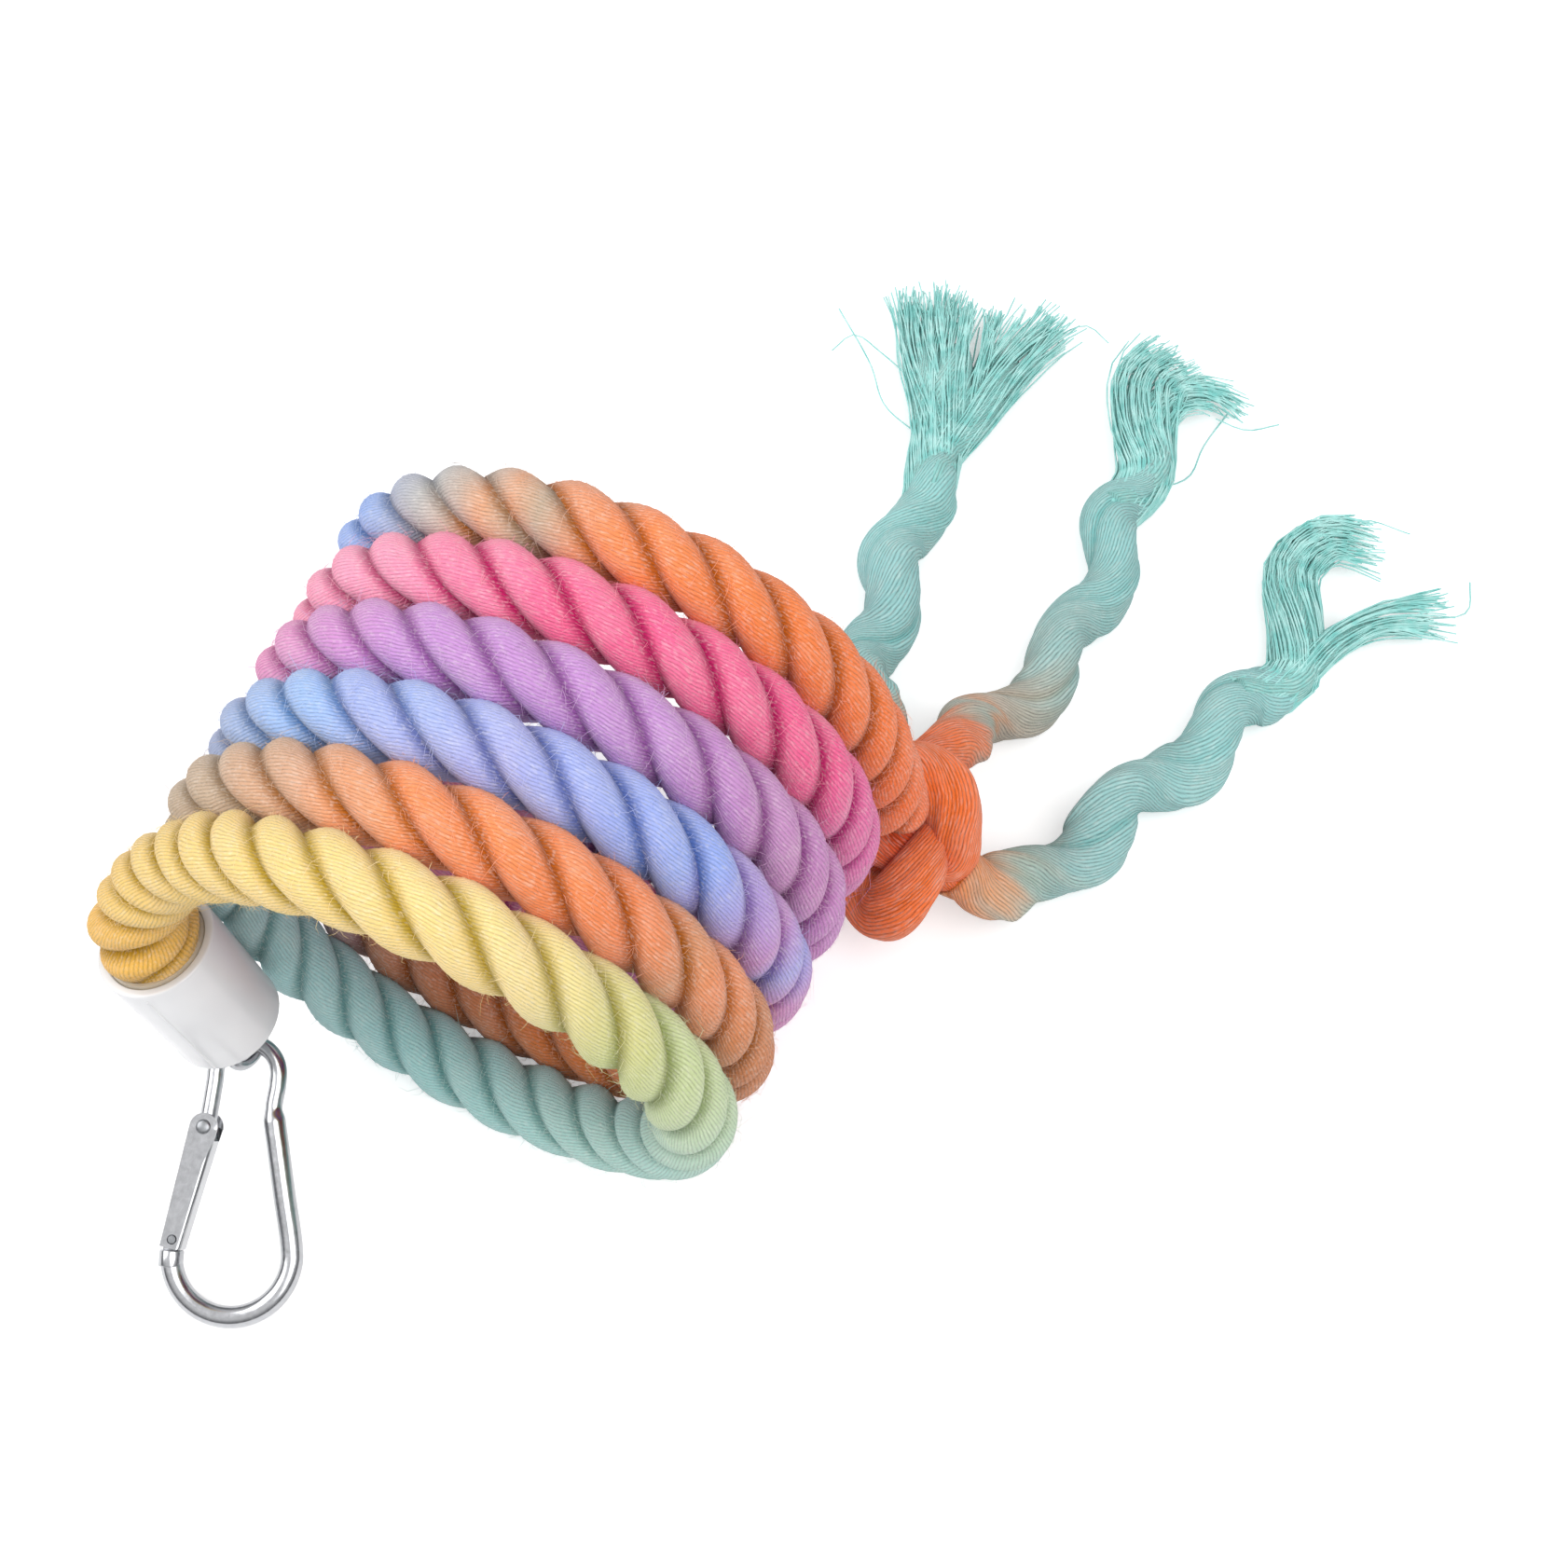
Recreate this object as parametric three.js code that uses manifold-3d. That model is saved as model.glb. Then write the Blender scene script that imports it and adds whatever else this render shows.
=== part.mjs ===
// A spiral climbing rope for cage birds, lying on its side as on a table. A three-strand cotton rope
// with a bendable wire core is wound into a coil. One end is glued into a plastic end cap that carries
// an eye and a snap hook, and the other ends in a knot from which the three strands run out and fray.
// Lengths are millimetres and angles are degrees. X runs along the coil's axis from the cap to the
// knot, Y points to the cap's side of the coil, Z points up, and the table is at Z = 0.
import * as THREE from "three";
import { mergeVertices } from "three/addons/utils/BufferGeometryUtils.js";
import Module from "manifold-3d";

const wasm = await Module();
wasm.setup();

// Clearance between pieces that touch on the real rope.
const CLEARANCE = 0.3;

// Rope and coil. Angles along the rope start at the coil's +Y side and grow towards the knot.
const ROPE_DIAMETER = 16;
const COIL_RADIUS = 57.5;
const COIL_PITCH = 16.9;
const COIL_TURNS = 5;
const LEAD_IN_ANGLE = 45;
const LEAD_OUT_ANGLE = 125;
const STEPS_PER_TURN = 24;
const ROPE_SIDES = 6;
const SECTION_TURN = 15;
const LEAD_STEPS = 4;
const CUT_DEPTH = ROPE_DIAMETER / 10;
const LEAST_TURN_GAP = 0.4;

// Bendable wire in the middle of the rope.
const CORE_DIAMETER = 3;

// End cap, its glue, and the eye that is bolted through its end wall.
const CAP_MOUTH_DIAMETER = 25.6;
const CAP_END_DIAMETER = 24.4;
const CAP_LENGTH = 34;
const CAP_WALL = 2;
const CAP_END_WALL = 2.5;
const CAP_EDGE_RADIUS = 1.6;
const ROPE_IN_CAP = 21;
const GLUE_PROUD = 0.8;
const GLUE_DEPTH = 19;
const EYE_WIRE_DIAMETER = 2.5;
const EYE_INSIDE_DIAMETER = 9.4;
const EYE_GAP = 1;
const EYE_PLAY = 0.8;
const EYE_TURN = -4;
const WASHER_DIAMETER = 9;
const WASHER_THICKNESS = 1;
const NUT_WIDTH = 5.5;
const NUT_HEIGHT = 2.4;
const SHANK_PAST_NUT = 1.2;

// Snap hook. Its own frame has the top bend's apex at the origin, Y up the hook and X across it.
// Above the shoulder on the long leg the wire is thinner, so that the eye can slide over it.
const HOOK_WIRE_DIAMETER = 4;
const BOW_WIRE_DIAMETER = 4.8;
const HOOK_TOP_RADIUS = 6.85;
const HOOK_BOW_RADIUS = 13;
const HOOK_BOW_DROP = 45.5;
const HOOK_NECK_DROP = 14;
const HOOK_LEG_BULGE = 0.4;
const HOOK_TOP_START = 195;
const HOOK_HEADING = 202;
const HINGE_PLACE = { x: -7.8, y: -18.6 };
const HINGE_END = 2.2;
const RIVET_DIAMETER = 2.2;
const RIVET_HEAD_DIAMETER = 3.8;
const RIVET_HEAD_HEIGHT = 0.6;
const GATE_PLATE = 0.8;
const GATE_HINGE_WIDTH = 6;
const GATE_NOSE_WIDTH = 4.4;
const GATE_GAP = 0.9;
const LATCH_PIN_DIAMETER = 1.6;
const LATCH_PIN_FROM_END = 1.9;
const TONGUE_THICKNESS = 2;
const COLLAR_DIAMETER = 5.2;
const COLLAR_LENGTH = 3.4;
const PLUNGER_DIAMETER = 3.2;
const PLUNGER_HEAD = 1.6;
const PLUNGER_STEM_DIAMETER = 1.1;
const PLUNGER_STEM = 2.6;
const SPRING_WIRE_DIAMETER = 0.5;
const SPRING_DIAMETER = 3;
const SPRING_CURLS = 6;
const SPRING_PITCH = 1.25;
const CURL_STEPS = 8;
const CURL_SIDES = 5;
const SPRING_SEAT = 1.2;

// Knot at the rope's end, in which each strand goes once round the others.
const KNOT_DIAMETER = 34;
const KNOT_HEIGHT = 26;
const KNOT_ANGLE = 210.6;
const KNOT_OUT = 14.2;
const KNOT_STRAND_DIAMETER = 13;
const KNOT_LEAN = { x: 0.1, y: -0.1 };

// The three unlaid strands and their frayed ends.
const STRAND_DIAMETER = 12;
const STRAND_SIDES = 10;
const STRAND_STEP = 1.25 * STRAND_DIAMETER;
const STRAND_LYING_HEIGHT = STRAND_DIAMETER / 2 + CLEARANCE;
const FRAY_SIDES = 8;

const ropeRadius = ROPE_DIAMETER / 2;
const radians = THREE.MathUtils.degToRad;
const vector = (x, y, z) => new THREE.Vector3(x, y, z);

// Joining and cutting of closed meshes.
function toSolid(geometry) {
  const loose = geometry.index ? geometry.toNonIndexed() : geometry;
  const bare = new THREE.BufferGeometry().setAttribute("position", loose.getAttribute("position"));
  const merged = mergeVertices(bare, 1e-4);
  return new wasm.Manifold(
    new wasm.Mesh({
      numProp: 3,
      vertProperties: merged.getAttribute("position").array,
      triVerts: new Uint32Array(merged.index.array),
    }),
  );
}

function toGeometry(solid) {
  const mesh = solid.getMesh();
  const geometry = new THREE.BufferGeometry();
  geometry.setAttribute("position", new THREE.BufferAttribute(mesh.vertProperties, 3));
  geometry.setIndex(new THREE.BufferAttribute(mesh.triVerts, 1));
  geometry.computeVertexNormals();
  return geometry;
}

function join(...geometries) {
  const [first, ...rest] = geometries.map(toSolid);
  return toGeometry(rest.reduce((sum, piece) => sum.add(piece), first));
}

function cut(geometry, ...tools) {
  return toGeometry(tools.map(toSolid).reduce((left, tool) => left.subtract(tool), toSolid(geometry)));
}

function material(color, roughness, metalness = 0) {
  return new THREE.MeshStandardMaterial({ color, roughness, metalness });
}

function piece(name, geometry, finish) {
  const mesh = new THREE.Mesh(geometry, finish);
  mesh.name = name;
  return mesh;
}

// A closed tube through a list of stations {at, along, out}: the middle, the direction of travel and
// a direction from which the section's first corner is measured. A station that is also {wide, high}
// stretches the section. A bore makes the tube hollow.
function tube(stations, radius, sides, turn = 0, bore = 0) {
  const places = [];
  const faces = [];
  const layers = bore > 0 ? [radius, bore] : [radius];
  for (const size of layers) {
    for (const { at, along, out, wide = 1, high = 1 } of stations) {
      const first = out.clone().addScaledVector(along, -out.dot(along)).normalize();
      const second = along.clone().cross(first);
      for (let side = 0; side < sides; side++) {
        const angle = radians(turn) + (2 * Math.PI * side) / sides;
        const corner = at.clone();
        corner.addScaledVector(first, size * wide * Math.cos(angle));
        corner.addScaledVector(second, size * high * Math.sin(angle));
        places.push(...corner.toArray());
      }
    }
  }
  const index = (layer, ring, side) => (layer * stations.length + ring) * sides + (side % sides);
  const quad = (a, b, c, d) => faces.push(a, b, c, a, c, d);
  const last = stations.length - 1;
  for (let side = 0; side < sides; side++) {
    for (let ring = 0; ring < last; ring++) {
      quad(index(0, ring, side), index(0, ring, side + 1), index(0, ring + 1, side + 1), index(0, ring + 1, side));
      if (bore > 0) {
        quad(index(1, ring, side), index(1, ring + 1, side), index(1, ring + 1, side + 1), index(1, ring, side + 1));
      }
    }
    if (bore > 0) {
      quad(index(0, 0, side), index(1, 0, side), index(1, 0, side + 1), index(0, 0, side + 1));
      quad(index(0, last, side), index(0, last, side + 1), index(1, last, side + 1), index(1, last, side));
    } else if (side > 0 && side < sides - 1) {
      faces.push(index(0, 0, 0), index(0, 0, side + 1), index(0, 0, side));
      faces.push(index(0, last, 0), index(0, last, side), index(0, last, side + 1));
    }
  }
  const geometry = new THREE.BufferGeometry();
  geometry.setAttribute("position", new THREE.Float32BufferAttribute(places, 3));
  geometry.setIndex(faces);
  geometry.computeVertexNormals();
  return geometry;
}

function turned(profile, segments = 32) {
  const points = profile.map(([radius, height]) => new THREE.Vector2(radius, height));
  return new THREE.LatheGeometry([...points, points[0]], segments);
}

// The coil's axis height leaves the rope's lowest corners cut off flat on the table.
const sectionReach = ropeRadius * Math.cos(radians(SECTION_TURN));
const coilHeight = COIL_RADIUS + sectionReach - CUT_DEPTH;
const coilAxis = vector(0, 0, coilHeight);

function coilX(angle) {
  return (COIL_PITCH * angle) / 360;
}

function coilPoint(angle, radius = COIL_RADIUS) {
  const turn = radians(angle);
  return vector(coilX(angle), radius * Math.cos(turn), coilHeight + radius * Math.sin(turn));
}

function coilDirection(angle) {
  const turn = radians(angle);
  const rise = COIL_PITCH / (2 * Math.PI * COIL_RADIUS);
  return vector(rise, -Math.sin(turn), Math.cos(turn)).normalize();
}

// The cap lies along a chord of the coil's circle, and stands off far enough to clear the next turn.
const capTilt = Math.asin(CAP_LENGTH / (2 * COIL_RADIUS));
const capDirection = vector(0, -Math.sin(capTilt), -Math.cos(capTilt));
const capEndAngle = 360 - 2 * THREE.MathUtils.radToDeg(capTilt);
const capX = coilX(capEndAngle) - CAP_MOUTH_DIAMETER / 2 - ropeRadius - CLEARANCE;
const capMouth = vector(capX, COIL_RADIUS, coilHeight);
const ropeEndInCap = capMouth.clone().addScaledVector(capDirection, ROPE_IN_CAP);
const ropeBendsAfterCap = capMouth.clone().addScaledVector(capDirection, -2 * GLUE_PROUD);

// The knot hangs outside the coil and clears the last turn but one.
const knotDirection = vector(KNOT_LEAN.x, KNOT_LEAN.y, -1).normalize();
const knotNeighbour = 360 * (COIL_TURNS - 1) + KNOT_ANGLE;
const knotReach = KNOT_DIAMETER / 2 + ropeRadius + CLEARANCE;
const knotMiddle = coilPoint(knotNeighbour, COIL_RADIUS + KNOT_OUT);
knotMiddle.x += Math.sqrt(knotReach ** 2 - KNOT_OUT ** 2);
const knotTop = knotMiddle.clone().addScaledVector(knotDirection, -KNOT_HEIGHT / 2);
const ropeEndAtKnot = knotTop.clone().addScaledVector(knotDirection, -CLEARANCE);

function bend(from, fromDirection, to, toDirection) {
  const handle = from.distanceTo(to) / 3;
  return new THREE.CubicBezierCurve3(
    from,
    from.clone().addScaledVector(fromDirection, handle),
    to.clone().addScaledVector(toDirection, -handle),
    to,
  );
}

function ropeStations() {
  const lastAngle = 360 * COIL_TURNS + LEAD_OUT_ANGLE;
  const straightStart = ropeEndAtKnot.clone().addScaledVector(knotDirection, -ROPE_DIAMETER);
  const intoCoil = capDirection.clone().negate();
  const leadIn = bend(ropeBendsAfterCap, intoCoil, coilPoint(LEAD_IN_ANGLE), coilDirection(LEAD_IN_ANGLE));
  const leadOut = bend(coilPoint(lastAngle), coilDirection(lastAngle), straightStart, knotDirection);
  const stations = [{ at: ropeEndInCap, along: intoCoil }];
  const follow = (curve, from, to) => {
    for (let step = from; step <= to; step++) {
      const share = step / LEAD_STEPS;
      stations.push({ at: curve.getPoint(share), along: curve.getTangent(share) });
    }
  };
  follow(leadIn, 0, LEAD_STEPS - 1);
  const steps = Math.round(((lastAngle - LEAD_IN_ANGLE) * STEPS_PER_TURN) / 360);
  for (let step = 0; step <= steps; step++) {
    const angle = LEAD_IN_ANGLE + ((lastAngle - LEAD_IN_ANGLE) * step) / steps;
    stations.push({ at: coilPoint(angle), along: coilDirection(angle) });
  }
  follow(leadOut, 1, LEAD_STEPS);
  stations.push({ at: ropeEndAtKnot, along: knotDirection });
  for (const station of stations) {
    station.out = vector(0, station.at.y - coilAxis.y, station.at.z - coilAxis.z);
  }
  return stations;
}

// The least distance between points of the rope's surface that lie over a third of a turn apart.
function leastGap(geometry, stations) {
  const position = geometry.getAttribute("position");
  const apart = STEPS_PER_TURN / 3;
  const corner = (ring, side) => vector().fromBufferAttribute(position, ring * ROPE_SIDES + (side % ROPE_SIDES));
  const samples = stations.map((station, ring) => {
    const ringSamples = [];
    const next = Math.min(ring + 1, stations.length - 1);
    for (let side = 0; side < ROPE_SIDES; side++) {
      for (const share of [0, 0.5]) {
        const here = corner(ring, side).lerp(corner(ring, side + 1), share);
        const there = corner(next, side).lerp(corner(next, side + 1), share);
        ringSamples.push(here, here.clone().lerp(there, 0.5));
      }
    }
    return ringSamples;
  });
  let least = Infinity;
  samples.forEach((near, ring) => {
    samples.slice(ring + apart).forEach((far) => {
      for (const a of near) {
        for (const b of far) least = Math.min(least, a.distanceTo(b));
      }
    });
  });
  return least;
}

function makeRope() {
  const stations = ropeStations();
  const bore = CORE_DIAMETER / 2 + CLEARANCE / Math.cos(Math.PI / ROPE_SIDES);
  const whole = tube(stations, ropeRadius, ROPE_SIDES, SECTION_TURN, bore);
  const gap = leastGap(whole, stations);
  console.log("rope_coil: least gap between its turns " + gap.toFixed(2) + " mm");
  if (gap < LEAST_TURN_GAP) console.log("rope_coil: its turns lie closer than " + LEAST_TURN_GAP + " mm");
  const reach = 4 * COIL_RADIUS + COIL_PITCH * COIL_TURNS;
  const table = new THREE.BoxGeometry(reach, reach, reach).translate(0, 0, -reach / 2);
  const rope = piece("rope_coil", cut(whole, table), material(0xf0a080, 0.95));
  const wire = tube(stations, CORE_DIAMETER / 2, ROPE_SIDES, SECTION_TURN);
  return [rope, piece("core_wire", wire, material(0x9a9c9e, 0.4, 1))];
}

// The cap's own frame has its mouth at the origin and Y pointing to its closed end.
const eyeWireRadius = EYE_WIRE_DIAMETER / 2;
const eyeRingRadius = EYE_INSIDE_DIAMETER / 2 + eyeWireRadius;
const eyeMiddle = CAP_LENGTH + EYE_GAP + eyeRingRadius + eyeWireRadius;
const boltHole = eyeWireRadius + CLEARANCE;
const washerTop = CAP_LENGTH - CAP_END_WALL - CLEARANCE;
const nutTop = washerTop - WASHER_THICKNESS - CLEARANCE;
const shankEnd = nutTop - NUT_HEIGHT - SHANK_PAST_NUT;

function capRadius(height) {
  const share = height / CAP_LENGTH;
  return (CAP_MOUTH_DIAMETER * (1 - share) + CAP_END_DIAMETER * share) / 2;
}

function makeCap() {
  const endRadius = capRadius(CAP_LENGTH);
  const edge = CAP_EDGE_RADIUS;
  const rounded = [0, 30, 60, 90].map((angle) => [
    endRadius - edge + edge * Math.cos(radians(angle)),
    CAP_LENGTH - edge + edge * Math.sin(radians(angle)),
  ]);
  const floor = CAP_LENGTH - CAP_END_WALL;
  const profile = [
    [capRadius(0) - CAP_WALL, 0],
    [capRadius(0), 0],
    ...rounded,
    [boltHole, CAP_LENGTH],
    [boltHole, floor],
    [capRadius(floor) - CAP_WALL, floor],
  ];
  return piece("end_cap", turned(profile), material(0xe6e6e8, 0.3));
}

function makeGlue() {
  const inside = ropeRadius + CLEARANCE;
  const outside = (height) => capRadius(height) - CAP_WALL - CLEARANCE;
  const profile = [
    [inside, -GLUE_PROUD],
    [(inside + outside(0)) / 2, -GLUE_PROUD],
    [outside(0), 0],
    [outside(GLUE_DEPTH), GLUE_DEPTH],
    [inside, GLUE_DEPTH],
  ];
  return piece("glue_bead", turned(profile), material(0xeee6d0, 0.25));
}

function makeEye() {
  const ring = new THREE.TorusGeometry(eyeRingRadius, eyeWireRadius, 8, 24);
  ring.rotateY(radians(EYE_TURN)).translate(0, eyeMiddle, 0);
  const top = eyeMiddle - eyeRingRadius;
  const shank = new THREE.CylinderGeometry(eyeWireRadius, eyeWireRadius, top - shankEnd, 12);
  shank.translate(0, (top + shankEnd) / 2, 0);
  return piece("eye_bolt", join(ring, shank), material(0xbfc1c4, 0.25, 1));
}

function makeWasher() {
  const low = washerTop - WASHER_THICKNESS;
  const outer = WASHER_DIAMETER / 2;
  const profile = [
    [boltHole, low],
    [outer, low],
    [outer, washerTop],
    [boltHole, washerTop],
  ];
  return piece("eye_washer", turned(profile, 24), material(0xb4b6b8, 0.35, 1));
}

function makeNut() {
  const corner = NUT_WIDTH / Math.sqrt(3);
  const outline = new THREE.Shape();
  for (let side = 0; side < 6; side++) {
    const angle = radians(60 * side);
    const draw = side ? "lineTo" : "moveTo";
    outline[draw](corner * Math.cos(angle), corner * Math.sin(angle));
  }
  outline.closePath();
  outline.holes.push(new THREE.Path().absarc(0, 0, boltHole, 0, 2 * Math.PI));
  const nut = new THREE.ExtrudeGeometry(outline, { depth: NUT_HEIGHT, bevelEnabled: false, curveSegments: 12 });
  nut.rotateX(-Math.PI / 2).translate(0, nutTop - NUT_HEIGHT, 0);
  return piece("eye_nut", nut, material(0xb4b6b8, 0.35, 1));
}

function makeCapEnd() {
  const group = new THREE.Group();
  group.position.copy(capMouth);
  group.rotation.x = -Math.PI / 2 - capTilt;
  group.add(makeCap(), makeGlue(), makeEye(), makeWasher(), makeNut());
  return group;
}

// The hook's own frame: apex of the top bend at the origin, Y up, X across. Its bow lies on the table.
const hookWire = HOOK_WIRE_DIAMETER / 2;
const hookPlay = EYE_INSIDE_DIAMETER / 2 - hookWire - EYE_PLAY;
const hookApex = capMouth.clone().addScaledVector(capDirection, eyeMiddle + hookPlay);
const hookReach = HOOK_BOW_DROP + HOOK_BOW_RADIUS;
const bowWire = BOW_WIRE_DIAMETER / 2;
const hookSlope = Math.asin((hookApex.z - bowWire) / hookReach);
const noseX = -HOOK_BOW_RADIUS;
const gateTurn = Math.atan2(noseX - HINGE_PLACE.x, HOOK_BOW_DROP + HINGE_PLACE.y);
const gateReach = Math.hypot(noseX - HINGE_PLACE.x, HOOK_BOW_DROP + HINGE_PLACE.y) - GATE_GAP;
const gateInside = HOOK_WIRE_DIAMETER + 2 * CLEARANCE;
const gateOutside = gateInside + 2 * GATE_PLATE;
const pinHeight = -gateReach + LATCH_PIN_FROM_END;

function arc(middleX, middleY, radius, from, to, steps) {
  return Array.from({ length: steps + 1 }, (unused, step) => {
    const angle = radians(from + ((to - from) * step) / steps);
    return vector(middleX + radius * Math.cos(angle), middleY + radius * Math.sin(angle), 0);
  });
}

function stationsOf(points, out) {
  return points.map((at, index) => {
    const before = points[Math.max(index - 1, 0)];
    const after = points[Math.min(index + 1, points.length - 1)];
    return { at, along: after.clone().sub(before).normalize(), out };
  });
}

function rodAcross(diameter, length, x, y, segments = 12) {
  const rod = new THREE.CylinderGeometry(diameter / 2, diameter / 2, length, segments);
  return rod.rotateX(Math.PI / 2).translate(x, y, 0);
}

function inGateFrame(geometry) {
  return geometry.rotateZ(gateTurn).translate(HINGE_PLACE.x, HINGE_PLACE.y, 0);
}

function plate(outline, thickness, middle = 0) {
  const shape = new THREE.ExtrudeGeometry(outline, { depth: thickness, bevelEnabled: false, curveSegments: 8 });
  return shape.translate(0, 0, middle - thickness / 2);
}

function makeHookBody() {
  const bow = vector(HOOK_BOW_RADIUS, -HOOK_BOW_DROP, 0);
  const neck = vector(HOOK_TOP_RADIUS, -HOOK_NECK_DROP, 0);
  const shoulder = neck.clone().lerp(bow, 0.03);
  const halfway = neck.clone().lerp(bow, 0.5);
  halfway.x += HOOK_LEG_BULGE;
  const hinge = vector(HINGE_PLACE.x, HINGE_PLACE.y, 0);
  const gateDirection = vector(Math.sin(gateTurn), -Math.cos(gateTurn), 0);
  const line = [
    hinge.clone().addScaledVector(gateDirection, HINGE_END),
    hinge,
    ...arc(0, -HOOK_TOP_RADIUS, HOOK_TOP_RADIUS, HOOK_TOP_START, 0, 12),
    neck,
    shoulder,
    halfway,
    ...arc(0, -HOOK_BOW_DROP, HOOK_BOW_RADIUS, 0, -180, 14),
  ];
  const stations = stationsOf(line, vector(0, 0, 1));
  stations[0].along = gateDirection.negate();
  for (const station of stations.slice(stations.findIndex(({ at }) => at === shoulder))) {
    station.wide = station.high = bowWire / hookWire;
  }
  const wire = tube(stations, hookWire, 10);
  const collar = new THREE.CylinderGeometry(COLLAR_DIAMETER / 2, COLLAR_DIAMETER / 2, COLLAR_LENGTH, 12);
  collar.translate(noseX, -HOOK_BOW_DROP - COLLAR_LENGTH / 2 + CLEARANCE, 0);
  const notch = LATCH_PIN_DIAMETER / 2 + CLEARANCE;
  const left = -GATE_NOSE_WIDTH / 2 + CLEARANCE;
  const right = GATE_NOSE_WIDTH / 2 - GATE_PLATE - CLEARANCE;
  const outline = new THREE.Shape();
  outline.moveTo(left, -gateReach - COLLAR_LENGTH);
  outline.lineTo(right, -gateReach - COLLAR_LENGTH);
  outline.lineTo(right, pinHeight - notch);
  outline.lineTo(0, pinHeight - notch);
  outline.absarc(0, pinHeight, notch, -Math.PI / 2, Math.PI / 2, true);
  outline.lineTo(right, pinHeight + notch);
  outline.lineTo(right, pinHeight + 2 * notch);
  outline.lineTo(left, pinHeight + 2 * notch);
  outline.closePath();
  const tongue = inGateFrame(plate(outline, TONGUE_THICKNESS));
  const rivetHole = rodAcross(RIVET_DIAMETER + 2 * CLEARANCE, 2 * gateOutside, HINGE_PLACE.x, HINGE_PLACE.y);
  return piece("hook_body", cut(join(wire, collar, tongue), rivetHole), material(0xc4c6c9, 0.2, 1));
}

function makeGate() {
  const hingeHalf = GATE_HINGE_WIDTH / 2;
  const noseHalf = GATE_NOSE_WIDTH / 2;
  const ear = new THREE.Shape();
  ear.moveTo(hingeHalf, 0);
  ear.absarc(0, 0, hingeHalf, 0, Math.PI, false);
  ear.lineTo(-noseHalf, -gateReach);
  ear.lineTo(noseHalf, -gateReach);
  ear.closePath();
  const web = new THREE.Shape();
  const webTop = -HINGE_END - CLEARANCE;
  web.moveTo(hingeHalf + ((noseHalf - hingeHalf) * webTop) / -gateReach, webTop);
  web.lineTo(noseHalf, -gateReach);
  web.lineTo(noseHalf - GATE_PLATE, -gateReach);
  web.lineTo(hingeHalf - GATE_PLATE, webTop);
  web.closePath();
  const seatTop = springFoot - CLEARANCE;
  const seat = new THREE.BoxGeometry(GATE_NOSE_WIDTH - GATE_PLATE, SPRING_SEAT, gateInside + GATE_PLATE);
  seat.translate(GATE_PLATE / 2, seatTop - SPRING_SEAT / 2, 0);
  const sides = [-1, 1].map((side) => plate(ear, GATE_PLATE, (side * (gateInside + GATE_PLATE)) / 2));
  const holes = [
    rodAcross(RIVET_DIAMETER + 2 * CLEARANCE, 2 * gateOutside, 0, 0),
    rodAcross(LATCH_PIN_DIAMETER + 2 * CLEARANCE, 2 * gateOutside, 0, pinHeight),
  ];
  const gate = cut(join(...sides, plate(web, gateOutside), seat), ...holes);
  return piece("gate", inGateFrame(gate), material(0xb8babd, 0.3, 1));
}

const plungerTop = -HINGE_END - CLEARANCE;
const springHead = plungerTop - PLUNGER_HEAD - CLEARANCE;
const springFoot = springHead - SPRING_CURLS * SPRING_PITCH - SPRING_WIRE_DIAMETER;

function makeRivet() {
  const shaft = rodAcross(RIVET_DIAMETER, gateOutside + 2 * CLEARANCE + RIVET_HEAD_HEIGHT, 0, 0);
  const headPlace = gateOutside / 2 + CLEARANCE + RIVET_HEAD_HEIGHT / 2;
  const heads = [-1, 1].map((side) =>
    rodAcross(RIVET_HEAD_DIAMETER, RIVET_HEAD_HEIGHT, 0, 0, 16).translate(0, 0, side * headPlace),
  );
  return piece("gate_rivet", inGateFrame(join(shaft, ...heads)), material(0xaeb0b3, 0.3, 1));
}

function makeLatchPin() {
  const pin = rodAcross(LATCH_PIN_DIAMETER, gateOutside, 0, pinHeight);
  return piece("latch_pin", inGateFrame(pin), material(0xaeb0b3, 0.3, 1));
}

function makePlunger() {
  const head = new THREE.CylinderGeometry(PLUNGER_DIAMETER / 2, PLUNGER_DIAMETER / 2, PLUNGER_HEAD, 16);
  head.translate(0, plungerTop - PLUNGER_HEAD / 2, 0);
  const stem = new THREE.CylinderGeometry(PLUNGER_STEM_DIAMETER / 2, PLUNGER_STEM_DIAMETER / 2, PLUNGER_STEM, 10);
  stem.translate(0, plungerTop - PLUNGER_HEAD - PLUNGER_STEM / 2 + CLEARANCE / 2, 0);
  return piece("gate_plunger", inGateFrame(join(head, stem)), material(0xa8aaad, 0.35, 1));
}

function makeSpring() {
  const radius = (SPRING_DIAMETER - SPRING_WIRE_DIAMETER) / 2;
  const top = springHead - SPRING_WIRE_DIAMETER / 2;
  const stations = Array.from({ length: SPRING_CURLS * CURL_STEPS + 1 }, (unused, step) => {
    const turn = (2 * Math.PI * step) / CURL_STEPS;
    const out = vector(Math.cos(turn), 0, Math.sin(turn));
    const at = out.clone().multiplyScalar(radius);
    at.y = top - (SPRING_PITCH * step) / CURL_STEPS;
    const fall = -SPRING_PITCH / (2 * Math.PI);
    const along = vector(-radius * Math.sin(turn), fall, radius * Math.cos(turn)).normalize();
    return { at, along, out };
  });
  const coil = tube(stations, SPRING_WIRE_DIAMETER / 2, CURL_SIDES);
  return piece("gate_spring", inGateFrame(coil), material(0x8d8f92, 0.3, 1));
}

function makeHook() {
  const group = new THREE.Group();
  group.position.copy(hookApex);
  group.rotation.set(hookSlope, 0, radians(HOOK_HEADING - 270), "ZXY");
  group.add(makeHookBody(), makeGate(), makeRivet(), makeLatchPin(), makePlunger(), makeSpring());
  return group;
}

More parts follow.
